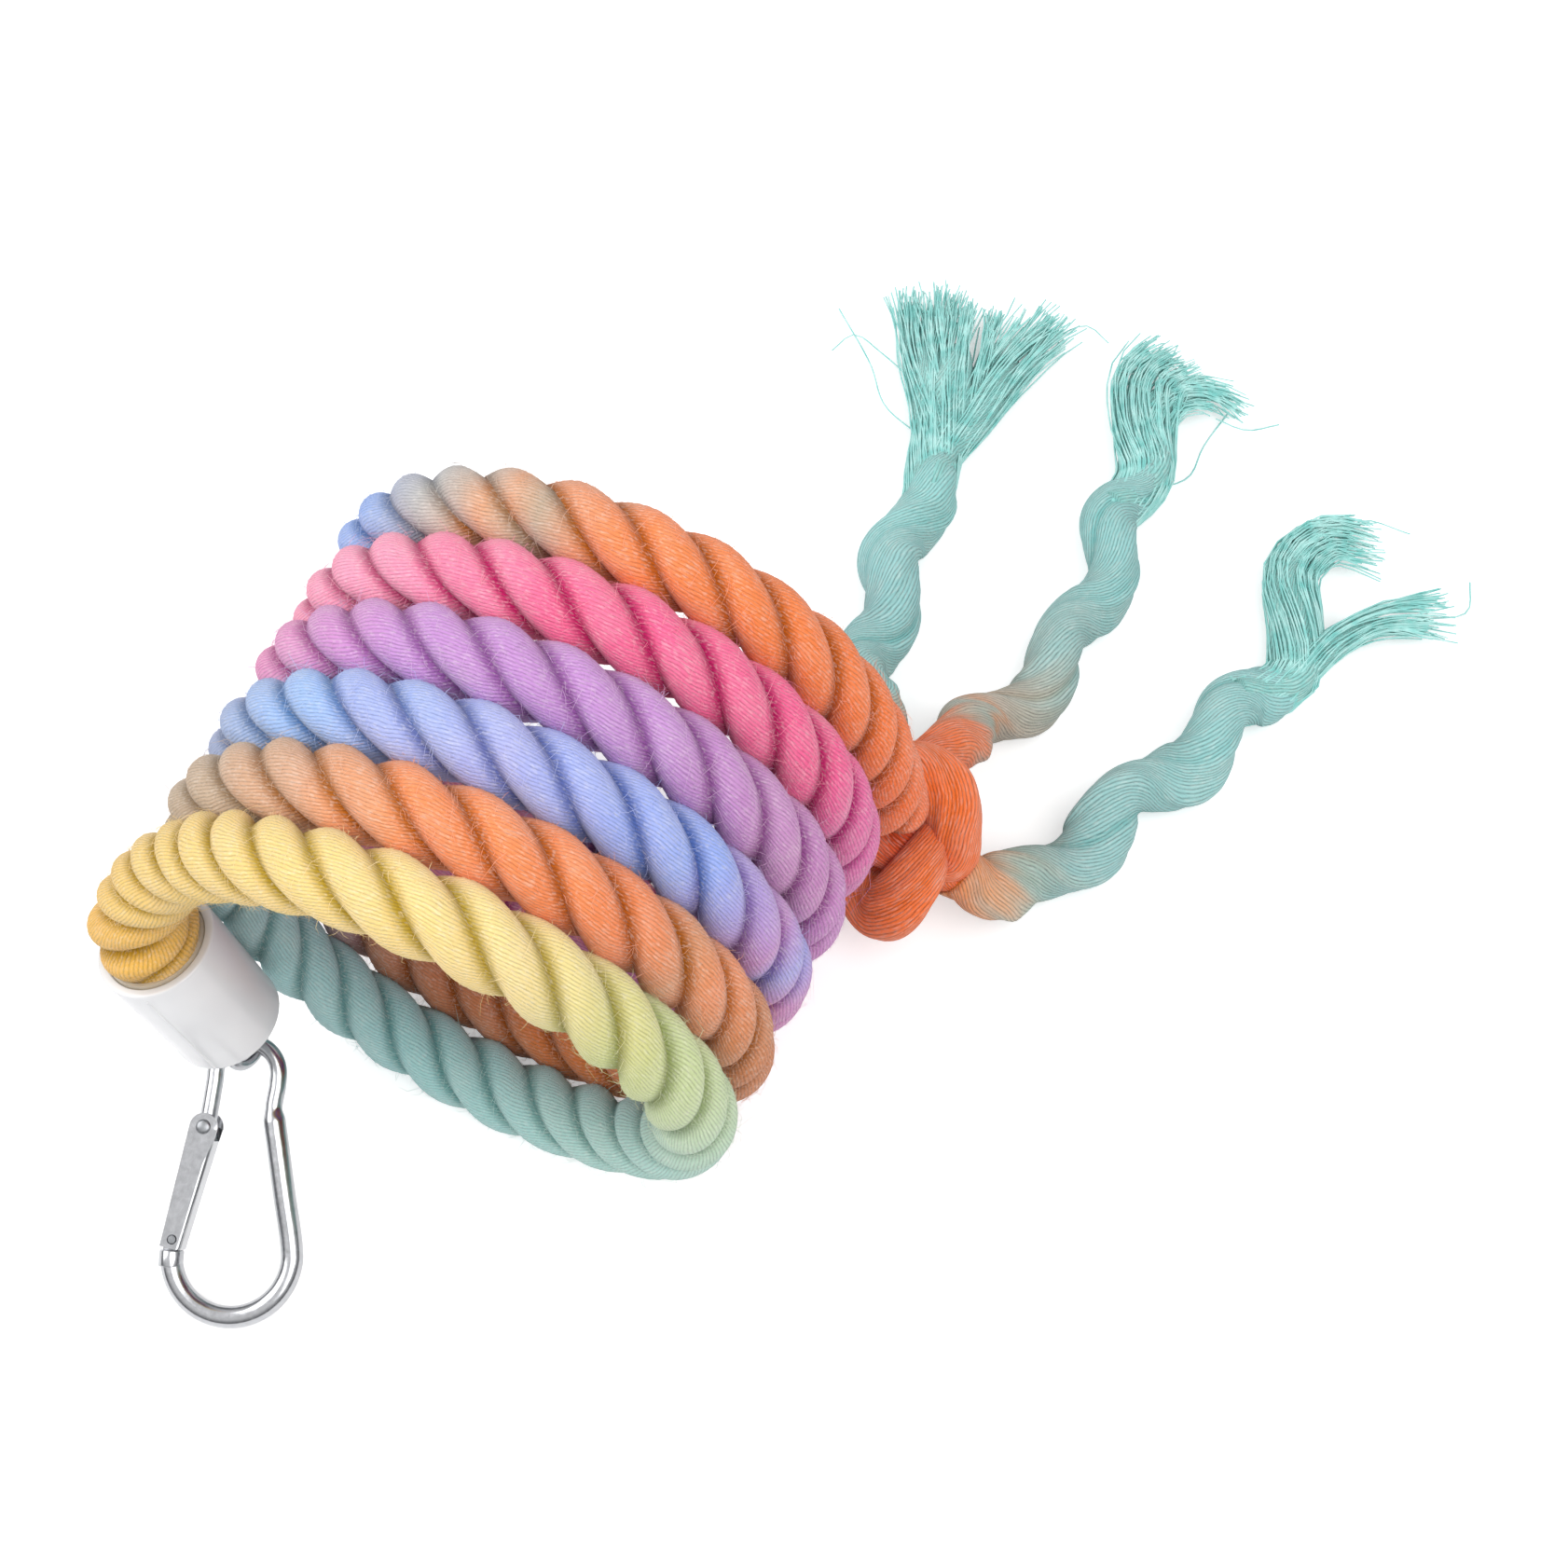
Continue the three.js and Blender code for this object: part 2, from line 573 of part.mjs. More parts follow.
// Knot: each strand leaves the rope at the top, goes round outside the others and comes out low down.
// The routes are chosen by eye in the coil's frame, and a place with no height lies on the table.
// The widths along a frayed lock are shares of the strand's diameter.
const strands = [
  {
    name: "a",
    exitAngle: 38,
    exitDrop: -1,
    exit: vector(0.8, 0.5, -0.33),
    route: [
      [133, -38.5, 12],
      [147, -33.5],
      [165, -31],
      [185, -28],
      [204, -25.5],
    ],
    frays: [
      { route: [[220, -18.5, 4.6], [236, -9, 4], [256, 1, 2.6]], widths: [1, 1.17, 1.25, 0.92] },
      { route: [[220, -22, 4.8], [238, -17.5, 4.4], [261, -12, 2.8]], widths: [1, 1.42, 1.58, 1.25] },
      { route: [[222, -28.5, 4.4], [240, -31, 3.6], [264, -37, 2.4]], widths: [1, 0.92, 1.08, 1] },
    ],
  },
  {
    name: "b",
    exitAngle: -6,
    exitDrop: -3,
    exit: vector(0.95, -0.06, -0.3),
    route: [
      [137, -66.5, 11],
      [150, -71.5, 7],
      [168, -75.5],
      [188, -76.5],
      [208, -74],
      [224, -74.5],
    ],
    frays: [
      { route: [[238, -69, 4.8], [252, -66, 4], [263, -72, 2.6]], widths: [1, 1.25, 1.42, 1.08] },
      { route: [[238, -70, 4.6], [249, -72, 3.8], [255, -80, 3], [254, -91, 2.2]], widths: [1, 1, 0.92, 0.75, 0.42] },
    ],
  },
  {
    name: "c",
    exitAngle: -100,
    exitDrop: 4,
    exit: vector(0.12, -0.78, -0.6),
    route: [
      [104, -87.5, 8],
      [116, -94.5],
      [135, -104],
      [152, -112.5],
      [170, -119.5],
      [185, -127.5],
    ],
    frays: [
      { route: [[198, -124, 4.8], [214, -117, 4], [227, -122, 3.2], [231, -136, 2.2]], widths: [1, 1.25, 1.25, 1.25, 0.92] },
      { route: [[200, -134, 4.4], [211, -143, 3.4], [219, -158, 2.2]], widths: [1, 0.75, 0.67, 0.92] },
    ],
  },
];

const knotTurn = new THREE.Quaternion().setFromUnitVectors(vector(0, 0, -1), knotDirection);
const loopRadius = (KNOT_DIAMETER - KNOT_STRAND_DIAMETER) / 2;
const loopHeight = (KNOT_HEIGHT - KNOT_STRAND_DIAMETER) / 2;

// A place in the knot, by its distance from the knot's axis, its angle round it and its height.
function inKnot(radius, angle, height) {
  const turn = radians(angle);
  const place = vector(radius * Math.cos(turn), radius * Math.sin(turn), height);
  return place.applyQuaternion(knotTurn).add(knotMiddle);
}

function strandExit(strand) {
  const out = strand.exit.clone().normalize();
  const from = inKnot(loopRadius, strand.exitAngle, -strand.exitDrop);
  return { from: from.addScaledVector(out, STRAND_DIAMETER / 2), out };
}

function makeKnot() {
  const loops = strands.map((strand) => {
    const { from, out } = strandExit(strand);
    const round = [0, 0.2, 0.4, 0.6, 0.8].map((share) => {
      const angle = strand.exitAngle + 30 - 260 * (1 - share);
      const radius = loopRadius * Math.min(1, 0.45 + 1.6 * share);
      return inKnot(radius, angle, loopHeight - 2 * loopHeight * share);
    });
    const line = new THREE.CatmullRomCurve3([...round, from.clone().addScaledVector(out, -STRAND_DIAMETER / 3), from]);
    const points = line.getSpacedPoints(14);
    const stations = stationsOf(points, vector(0.3, 0.2, 1));
    stations.at(-1).along = out;
    return tube(stations, KNOT_STRAND_DIAMETER / 2, 8);
  });
  const core = new THREE.SphereGeometry(KNOT_DIAMETER / 2 - 2, 16, 12);
  core.scale(1, 1, (KNOT_HEIGHT - 2) / (KNOT_DIAMETER - 4));
  core.applyQuaternion(knotTurn).translate(...knotMiddle.toArray());
  const neck = new THREE.CylinderGeometry(ropeRadius, ropeRadius, KNOT_HEIGHT / 2, 12);
  neck.rotateX(Math.PI / 2).translate(0, 0, KNOT_HEIGHT / 4);
  neck.applyQuaternion(knotTurn).translate(...knotMiddle.toArray());
  const above = new THREE.BoxGeometry(4 * KNOT_DIAMETER, 4 * KNOT_DIAMETER, KNOT_DIAMETER);
  above.translate(0, 0, KNOT_HEIGHT / 2 + KNOT_DIAMETER / 2);
  above.applyQuaternion(knotTurn).translate(...knotMiddle.toArray());
  const sockets = strands.map((strand) => {
    const { from, out } = strandExit(strand);
    const socket = new THREE.CylinderGeometry(STRAND_DIAMETER / 2 + 2 * CLEARANCE, STRAND_DIAMETER / 2 + 2 * CLEARANCE, 2 * STRAND_DIAMETER, 16);
    socket.translate(0, STRAND_DIAMETER, 0);
    socket.applyQuaternion(new THREE.Quaternion().setFromUnitVectors(vector(0, 1, 0), out));
    return socket.translate(...from.toArray());
  });
  return piece("end_knot", cut(join(core, neck, ...loops), above, ...sockets), material(0xf0733f, 0.95));
}

function onRoute([x, y, z = STRAND_LYING_HEIGHT]) {
  return vector(x, y, z);
}

function makeStrand(strand) {
  const { from, out } = strandExit(strand);
  const start = from.clone().addScaledVector(out, CLEARANCE);
  const straight = [0, 0.5, 1].map((share) => start.clone().addScaledVector(out, share * STRAND_DIAMETER));
  const line = new THREE.CatmullRomCurve3([...straight, ...strand.route.map(onRoute)]);
  const section = new THREE.Shape().absarc(0, 0, STRAND_DIAMETER / 2, 0, 2 * Math.PI);
  const steps = Math.ceil(line.getLength() / STRAND_STEP);
  const options = { extrudePath: line, steps, curveSegments: STRAND_SIDES / 2, bevelEnabled: false };
  return piece("strand_" + strand.name, new THREE.ExtrudeGeometry(section, options), material(0x9ccbc8, 0.95));
}

// A flat lock of loose yarn, wide and low, that lies along its route.
function lock(points, firstDirection, widths) {
  const line = new THREE.CatmullRomCurve3(points);
  const rings = 2 * (points.length - 1);
  const stations = Array.from({ length: rings + 1 }, (unused, ring) => {
    const share = ring / rings;
    const at = line.getPoint(share);
    const along = ring ? line.getTangent(share) : firstDirection;
    const place = share * (widths.length - 1);
    const before = Math.min(Math.floor(place), widths.length - 2);
    const width = THREE.MathUtils.lerp(widths[before], widths[before + 1], place - before);
    const high = Math.min(STRAND_DIAMETER / 2, at.z - CLEARANCE / 2);
    const wide = (width * STRAND_DIAMETER) / 2;
    return { at, along, out: vector(0, 0, 1).cross(along), wide, high };
  });
  return tube(stations, 1, FRAY_SIDES);
}

function makeFray(strand) {
  const [before, last] = strand.route.slice(-2).map(onRoute);
  const out = last.clone().sub(before).normalize();
  const start = last.clone().addScaledVector(out, CLEARANCE);
  const locks = strand.frays.map(({ route, widths }) =>
    lock([start, ...route.map(onRoute)], out, widths),
  );
  return piece("frayed_end_" + strand.name, join(...locks), material(0x9fdcd0, 0.95));
}

function makeTail() {
  const group = new THREE.Group();
  group.add(makeKnot(), ...strands.map(makeStrand), ...strands.map(makeFray));
  return group;
}

// The whole rope, with the origin under the middle of its box.
const climbingRope = new THREE.Group();
climbingRope.add(...makeRope(), makeCapEnd(), makeHook(), makeTail());
const box = new THREE.Box3().setFromObject(climbingRope, true);
const middle = box.getCenter(vector());
climbingRope.position.set(-middle.x, -middle.y, 0);
console.log("origin in the coil's frame: " + middle.x.toFixed(3) + ", " + middle.y.toFixed(3));
console.log("hook hinge in the coil's frame: " + hookApex.toArray().map((value) => value.toFixed(3)));

export default climbingRope;
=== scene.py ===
# %% [markdown]
# # A spiral climbing rope for cage birds
# The real object is a cotton rope of three strands with a bendable wire in its middle. It is wound into
# a coil, dyed in soft bands of colour, glued into a white plastic cap with a snap hook at one end, and
# knotted at the other, where the three strands run out and fray. This lesson builds the looks around a
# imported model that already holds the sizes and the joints, so every piece is placed in its frame.

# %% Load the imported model
import math

import bmesh
import bpy
import numpy as np
from mathutils import Matrix, Vector


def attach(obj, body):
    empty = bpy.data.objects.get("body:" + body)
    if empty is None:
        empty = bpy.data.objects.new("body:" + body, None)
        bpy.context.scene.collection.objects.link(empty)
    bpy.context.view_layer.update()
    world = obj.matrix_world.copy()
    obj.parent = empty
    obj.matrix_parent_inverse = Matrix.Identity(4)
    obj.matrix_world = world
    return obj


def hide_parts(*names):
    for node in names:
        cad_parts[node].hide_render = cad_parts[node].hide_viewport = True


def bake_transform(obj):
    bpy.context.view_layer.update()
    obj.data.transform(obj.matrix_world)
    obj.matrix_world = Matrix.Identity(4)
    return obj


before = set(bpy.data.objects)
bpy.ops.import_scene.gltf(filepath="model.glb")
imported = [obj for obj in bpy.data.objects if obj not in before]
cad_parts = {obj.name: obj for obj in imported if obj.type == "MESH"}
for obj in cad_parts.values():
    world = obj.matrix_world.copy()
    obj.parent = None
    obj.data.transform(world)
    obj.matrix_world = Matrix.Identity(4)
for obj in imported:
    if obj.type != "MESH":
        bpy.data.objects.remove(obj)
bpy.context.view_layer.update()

# %% [markdown]
# ## The camera
# The camera stands where the photograph was taken from: above the cap's end of the coil, looking down
# at about sixty degrees. Its place, its two directions and its lens come from matching the coil's turns
# in the picture with a helix of the same size. The picture is square, so no shift is needed.

# %% Place the camera
MM = 0.001
CAMERA_PLACE = Vector((-234.567, -98.072, 533.735)) * MM
CAMERA_RIGHT = Vector((0.42894, -0.90333, 0))
CAMERA_UP = Vector((0.80739, 0.38339, 0.44848))
CAMERA_LENS = 57.73
SENSOR_WIDTH = 36


def shown(name, data):
    """An object with this mesh, curve, lamp or camera, put into the scene."""
    thing = bpy.data.objects.new(name, data)
    bpy.context.scene.collection.objects.link(thing)
    return thing


camera_data = bpy.data.cameras.new("camera")
camera_data.lens = CAMERA_LENS
camera_data.sensor_width = SENSOR_WIDTH
camera = shown("camera", camera_data)
turn = Matrix((CAMERA_RIGHT, CAMERA_UP, CAMERA_RIGHT.cross(CAMERA_UP))).transposed()
camera.matrix_world = Matrix.Translation(CAMERA_PLACE) @ turn.to_4x4()
bpy.context.scene.camera = camera
print("camera at", [round(value, 3) for value in camera.location])

# %% [markdown]
# ## Routes
# A rope is a fixed length of something flexible, so it is built straight first and then laid along a
# route. A route is a list of places with two directions square to the way the rope runs. On the coil
# one of them points away from the coil's axis, and on a free strand they are carried along unturned.

# %% Smooth lines
STEPS_PER_SPAN = 24


def unit(vectors):
    return vectors / np.linalg.norm(vectors, axis=-1, keepdims=True)


def lengths_along(points):
    steps = np.linalg.norm(np.diff(points, axis=0), axis=1)
    return np.concatenate([[0], np.cumsum(steps)])


def evenly(points, step):
    """The same line with a point every step or so."""
    along = lengths_along(points)
    wanted = np.linspace(0, along[-1], max(2, round(along[-1] / step) + 1))
    return np.column_stack([np.interp(wanted, along, points[:, i]) for i in range(3)])


def through(points, step=1.0):
    """A smooth line through a few places, with a point every step."""
    places = np.array(points, float)
    ends = [2 * places[0] - places[1], 2 * places[-1] - places[-2]]
    p = np.vstack([ends[0], places, ends[1]])
    knots = np.concatenate([[0], np.cumsum(np.sqrt(np.linalg.norm(np.diff(p, axis=0), axis=1)))])
    line = []
    for i in range(1, len(p) - 2):
        a, b, c, d = p[i - 1 : i + 3]
        ta, tb, tc, td = knots[i - 1 : i + 3]
        for t in np.linspace(tb, tc, STEPS_PER_SPAN, endpoint=False):
            ab = (a * (tb - t) + b * (t - ta)) / (tb - ta)
            bc = (b * (tc - t) + c * (t - tb)) / (tc - tb)
            cd = (c * (td - t) + d * (t - tc)) / (td - tc)
            abc = (ab * (tc - t) + bc * (t - ta)) / (tc - ta)
            bcd = (bc * (td - t) + cd * (t - tb)) / (td - tb)
            line.append((abc * (tc - t) + bcd * (t - tb)) / (tc - tb))
    return evenly(np.array(line + [places[-1]]), step)


print("a line through three places has", len(through([(0, 0, 0), (9, 3, 0), (20, 0, 0)])), "points")

# %% Routes, and laying a straight piece along one
NEARLY_UP = (0.02, 0.03, 1)


def route_of(points, out=None):
    """Places with two square directions: out is given, or carried along from +Z, unturned."""
    along = unit(np.gradient(points, axis=0))
    if out is None:
        first = np.cross(along[0], np.cross(NEARLY_UP, along[0]))
        out = [first]
        for direction in along[1:]:
            out.append(out[-1] - direction * np.dot(out[-1], direction))
            out[-1] = out[-1] / np.linalg.norm(out[-1])
        out = np.array(out)
    first = unit(out - along * np.sum(out * along, axis=1, keepdims=True))
    second = np.cross(along, first)
    return {"length": lengths_along(points), "at": points, "first": first, "second": second}


def laid_along(route, straight):
    """Straight places (along, across, across) in millimetres, bent to lie along the route."""
    def carried(key):
        columns = [np.interp(straight[:, 0], route["length"], route[key][:, i]) for i in range(3)]
        return np.column_stack(columns)

    first, second = unit(carried("first")), unit(carried("second"))
    return carried("at") + first * straight[:, 1:2] + second * straight[:, 2:3]


test_route = route_of(through([(0, 0, 0), (9, 3, 0), (20, 0, 0)]))
print("its end, laid again:", laid_along(test_route, np.array([[30.0, 0, 0]])).round(1).tolist())

# %% [markdown]
# ## The rope's route
# The rope starts inside the cap, leaves it straight, joins a coil of even pitch and, after five and a
# half turns, leans out of the coil and runs down to the knot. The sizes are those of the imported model.
# Angles start on the cap's side of the coil and grow towards the knot.

# %% Sizes of the coil, the cap and the knot
PART_ORIGIN = np.array([102.819, -45.435, 0])
COIL_RADIUS = 57.5
COIL_PITCH = 16.9
COIL_HEIGHT = 63.627
ROPE_DIAMETER = 16.0
CAP_LENGTH = 34.0
CAP_MOUTH = np.array([-5.815, 57.5, 63.627])
LEAD_IN_ANGLE = 45
LEAD_OUT_ANGLE = 1925
ROPE_IN_CAP = 21
STRAIGHT_PAST_MOUTH = 1.6
COIL_POINTS = 1600
ROPE_AT_KNOT = np.array([97.109, -60.398, 40.298])
KNOT_MIDDLE = np.array([98.426, -61.715, 27.129])
KNOT_DIRECTION = unit(np.array([0.1, -0.1, -1]))

cap_tilt = math.asin(CAP_LENGTH / (2 * COIL_RADIUS))
CAP_DIRECTION = np.array([0, -math.sin(cap_tilt), -math.cos(cap_tilt)])
print("the cap leans by %.1f degrees" % math.degrees(cap_tilt))


# %% Points on the coil, and bends into and out of it
def coil_point(angle):
    turn = np.radians(angle)
    circle = [COIL_RADIUS * np.cos(turn), COIL_HEIGHT + COIL_RADIUS * np.sin(turn)]
    return np.stack([COIL_PITCH * angle / 360, *circle], axis=-1)


def coil_direction(angle):
    return unit(coil_point(angle + 0.5) - coil_point(angle - 0.5))


def bend(start, start_direction, end, end_direction, count=40):
    handle = np.linalg.norm(end - start) / 3
    corners = [start, start + start_direction * handle, end - end_direction * handle, end]
    share = np.linspace(0, 1, count)[:, None]
    weights = [(1 - share) ** 3, 3 * share * (1 - share) ** 2, 3 * share**2 * (1 - share), share**3]
    return sum(weight * corner for weight, corner in zip(weights, corners))


rope_end = CAP_MOUTH + CAP_DIRECTION * ROPE_IN_CAP
leaves_cap = CAP_MOUTH - CAP_DIRECTION * STRAIGHT_PAST_MOUTH
joins_knot = ROPE_AT_KNOT - KNOT_DIRECTION * ROPE_DIAMETER
coil_angles = np.linspace(LEAD_IN_ANGLE, LEAD_OUT_ANGLE, COIL_POINTS)
rope_line = np.vstack(
    [
        rope_end[None],
        bend(leaves_cap, -CAP_DIRECTION, coil_point(LEAD_IN_ANGLE), coil_direction(LEAD_IN_ANGLE)),
        coil_point(coil_angles)[1:-1],
        bend(coil_point(LEAD_OUT_ANGLE), coil_direction(LEAD_OUT_ANGLE), joins_knot, KNOT_DIRECTION),
        ROPE_AT_KNOT[None],
    ]
)
rope_line = evenly(rope_line, 1.0)
away_from_axis = (rope_line - [0, 0, COIL_HEIGHT]) * [0, 1, 1]
rope_route = route_of(rope_line, away_from_axis)
rope_length = rope_route["length"][-1]
print("rope: %.0f mm along its middle" % rope_length)

# %% [markdown]
# ## The three-strand rope
# Three strands are twisted round each other like the middle stroke of a Z. Cut across, the rope is
# three round lobes with deep grooves. That section is drawn once and spun forward along the rope, as a
# screw is, so the grooves wind by themselves. The straight places are kept on the mesh, because the
# dye, the grooves and the yarns are painted from them after the rope has been bent into its coil. Near
# the cap the real rope is pushed together, so its strands follow each other closer there.

# %% How long the straight rope has to be
LAYS = 49
TIGHT_SHARE = 0.64
TIGHT_UNTIL = (105, 165)
LONG_ENOUGH = 1.1


def settled(longest, count=3000):
    """Where each length of the straight rope comes to lie on its route: closer near the cap."""
    places = np.linspace(0, longest, count)
    loosened = np.clip((places - TIGHT_UNTIL[0]) / (TIGHT_UNTIL[1] - TIGHT_UNTIL[0]), 0, 1)
    share = TIGHT_SHARE + (1 - TIGHT_SHARE) * loosened**2 * (3 - 2 * loosened)
    laid = np.concatenate([[0], np.cumsum((share[1:] + share[:-1]) / 2)]) * (places[1] - places[0])
    return places, laid


straight_places, laid_places = settled(rope_length * LONG_ENOUGH)
straight_length = np.interp(rope_length, laid_places, straight_places)
LAY_LENGTH = straight_length / LAYS


def settle(straight):
    """The straight rope's places with their lengths as they come to lie on the route."""
    return np.column_stack([np.interp(straight[:, 0], straight_places, laid_places), straight[:, 1:]])


print("straight rope: %.0f mm, one turn in %.1f mm" % (straight_length, LAY_LENGTH))

# %% The section, and a bmesh that is screwed forward from it
STRAND_OFFSET = 3.3
STRAND_RADIUS = 5.45
POINTS_PER_STRAND = 15
ROPE_STEP = 1.0
WELD_DISTANCE = 0.01


def three_lobes(offset, radius, count):
    """The outline of three overlapping circles, with its points close together in the grooves."""
    groove = math.pi / 3 + math.asin(offset * math.sin(math.pi / 3) / radius)
    points = []
    for strand in range(3):
        heading = 2 * math.pi * strand / 3
        across, up = math.cos(heading), math.sin(heading)
        for share in np.linspace(-1, 1, count, endpoint=False):
            own = groove * math.sin(share * math.pi / 2)
            y = offset + radius * math.cos(own)
            z = radius * math.sin(own)
            points.append((y * across - z * up, y * up + z * across))
    return points


def screwed(name, outline, length, step, lay, repeats=1):
    """A straight rope along X from its outline, turned once in every lay length. Millimetres."""
    bm = bmesh.new()
    ring = [bm.verts.new((0, y, z)) for y, z in outline]
    edges = [bm.edges.new((a, b)) for a, b in zip(ring, ring[1:] + ring[:1])]
    stretch = length / repeats
    steps = math.ceil(stretch / step)
    bmesh.ops.spin(
        bm,
        geom=ring + edges,
        cent=(0, 0, 0),
        axis=(1, 0, 0),
        dvec=(stretch / steps, 0, 0),
        angle=2 * math.pi * stretch / lay,
        steps=steps,
        use_merge=False,
        use_duplicate=False,
    )
    if repeats > 1:
        one_lay = bpy.data.meshes.new("one lay")
        bm.to_mesh(one_lay)
        count = len(one_lay.vertices)
        for i in range(1, repeats):
            bm.from_mesh(one_lay)
            bm.verts.ensure_lookup_table()
            bmesh.ops.translate(bm, vec=(stretch * i, 0, 0), verts=bm.verts[count * i :])
        bmesh.ops.remove_doubles(bm, verts=bm.verts, dist=WELD_DISTANCE)
        bpy.data.meshes.remove(one_lay)
    bmesh.ops.holes_fill(bm, edges=[edge for edge in bm.edges if edge.is_boundary], sides=0)
    bmesh.ops.recalc_face_normals(bm, faces=bm.faces)
    mesh = bpy.data.meshes.new(name)
    bm.to_mesh(mesh)
    bm.free()
    mesh.shade_smooth()
    return shown(name, mesh)


section = three_lobes(STRAND_OFFSET, STRAND_RADIUS, POINTS_PER_STRAND)
rope = screwed("rope", section, straight_length, ROPE_STEP, LAY_LENGTH, repeats=LAYS)
print("rope:", len(rope.data.vertices), "points")


# %% Read, change and keep the places of a mesh
def places_of(piece):
    flat = np.zeros(3 * len(piece.data.vertices), np.float32)
    piece.data.vertices.foreach_get("co", flat)
    return flat.reshape(-1, 3).astype(float)


def put(piece, places):
    piece.data.vertices.foreach_set("co", np.ascontiguousarray(places, np.float32).ravel())
    piece.data.update()


def remember(piece, name, vectors):
    """Keeps a vector for each point of the mesh, for a material to read."""
    kept = piece.data.attributes.new(name, "FLOAT_VECTOR", "POINT")
    kept.data.foreach_set("vector", np.ascontiguousarray(vectors, np.float32).ravel())


def into_part(places):
    """From the coil's frame in millimetres to the part's frame in metres."""
    return (places - PART_ORIGIN) * MM


TABLE_GAP = 0.3
PRESS_SOFTNESS = 0.6


def pressed(places):
    """Cotton that would reach into the table is pressed flat on it, softly and without an edge."""
    above = places[:, 2] - TABLE_GAP
    lifted = places.copy()
    lifted[:, 2] = TABLE_GAP + (above + np.sqrt(above**2 + PRESS_SOFTNESS)) / 2
    return lifted


rope_straight = places_of(rope)
remember(rope, "straight", rope_straight * MM)
print("the straight rope's box ends at", rope_straight.max(axis=0).round(1).tolist())

# %% [markdown]
# ## Soft irregularity
# Cotton strands are never quite even: each swells and thins a little as it goes. A sum of a few slow
# waves, different on each strand, moves the surface in and out by a few tenths of a millimetre. Where
# the rope was pushed into its cap it is plumper, because the glue holds its strands pressed outwards.

# %% Swell the strands
WAVE_LENGTHS = (17.0, 29.0, 53.0)
MOUTH_SWELL = 0.33
MOUTH_SWELL_MIDDLE = ROPE_IN_CAP + 5
MOUTH_SWELL_REACH = 6.0
MOUTH_FILL = 0.75
MOUTH_FILL_REACH = 5
MOUTH_FILL_RADIUS = 10.5


def strand_of(straight):
    """Which of the three strands each point is on."""
    angle = np.arctan2(straight[:, 2], straight[:, 1]) - 2 * math.pi * straight[:, 0] / LAY_LENGTH
    return np.round(angle / (2 * math.pi / 3)).astype(int) % 3


def blended(a, b, share):
    return a + (b - a) * share


def slow_waves(along, strand, seed):
    rng = np.random.default_rng(seed)
    total = np.zeros(len(along))
    for wave_length in WAVE_LENGTHS:
        phase = rng.uniform(0, 2 * math.pi, 3)
        total += np.sin(2 * math.pi * along / wave_length + phase[strand])
    return total / len(WAVE_LENGTHS)


def swollen(straight, amount, seed):
    """Each strand's own slow swelling, and the plump part where the rope fills the cap's mouth."""
    strand = strand_of(straight)
    laid = settle(straight)[:, 0]
    bulge = MOUTH_SWELL * np.exp(-(((laid - MOUTH_SWELL_MIDDLE) / MOUTH_SWELL_REACH) ** 2))
    swell = 1 + amount * slow_waves(straight[:, 0], strand, seed) + bulge
    fill = MOUTH_FILL * np.exp(-((np.maximum(laid - ROPE_IN_CAP, 0) / MOUTH_FILL_REACH) ** 2))
    depth = np.maximum(np.hypot(straight[:, 1], straight[:, 2]), 0.1)
    changed = straight.copy()
    changed[:, 1:] *= blended(swell, MOUTH_FILL_RADIUS / depth, fill)[:, None]
    return changed


ROPE_SWELL = 0.03
ROPE_SWELL_SEED = 4
rope_swollen = settle(swollen(rope_straight, ROPE_SWELL, ROPE_SWELL_SEED))
print("swelling moved points by up to %.2f mm" % np.abs(rope_swollen - settle(rope_straight)).max())

# %% [markdown]
# ## Laying the rope
# The coil stretches when the knot is pulled away from the cap. Here the rope is first put in its
# straight places, and only then laid in its coil.


def lay_rope(piece, straight):
    """Puts the straight piece in its places, and only then lays it in the coil."""
    put(piece, straight)
    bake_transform(piece)
    put(piece, into_part(pressed(laid_along(rope_route, straight))))


lay_rope(rope, rope_swollen)
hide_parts("rope_coil")

# %% [markdown]
# ## The wire in the rope's middle
# The wire keeps the coil's shape. Nobody sees it, so ten sides and a ring every four millimetres are
# enough. It is screwed forward as the rope was, but with a lay so long that it doesn't turn.

# %% Lay the wire
WIRE_DIAMETER = 3.0
WIRE_SIDES = 10
WIRE_STEP = 4.0
WIRE_END_GAP = 1
NO_TURN = 1e9


def round_outline(radius, count):
    turns = [2 * math.pi * i / count for i in range(count)]
    return [(radius * math.cos(a), radius * math.sin(a)) for a in turns]


wire_outline = round_outline(WIRE_DIAMETER / 2, WIRE_SIDES)
wire = screwed("core_wire_run", wire_outline, rope_length - 2 * WIRE_END_GAP, WIRE_STEP, NO_TURN)
lay_rope(wire, places_of(wire) + [WIRE_END_GAP, 0, 0])
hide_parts("core_wire")
print("wire:", len(wire.data.vertices), "points")
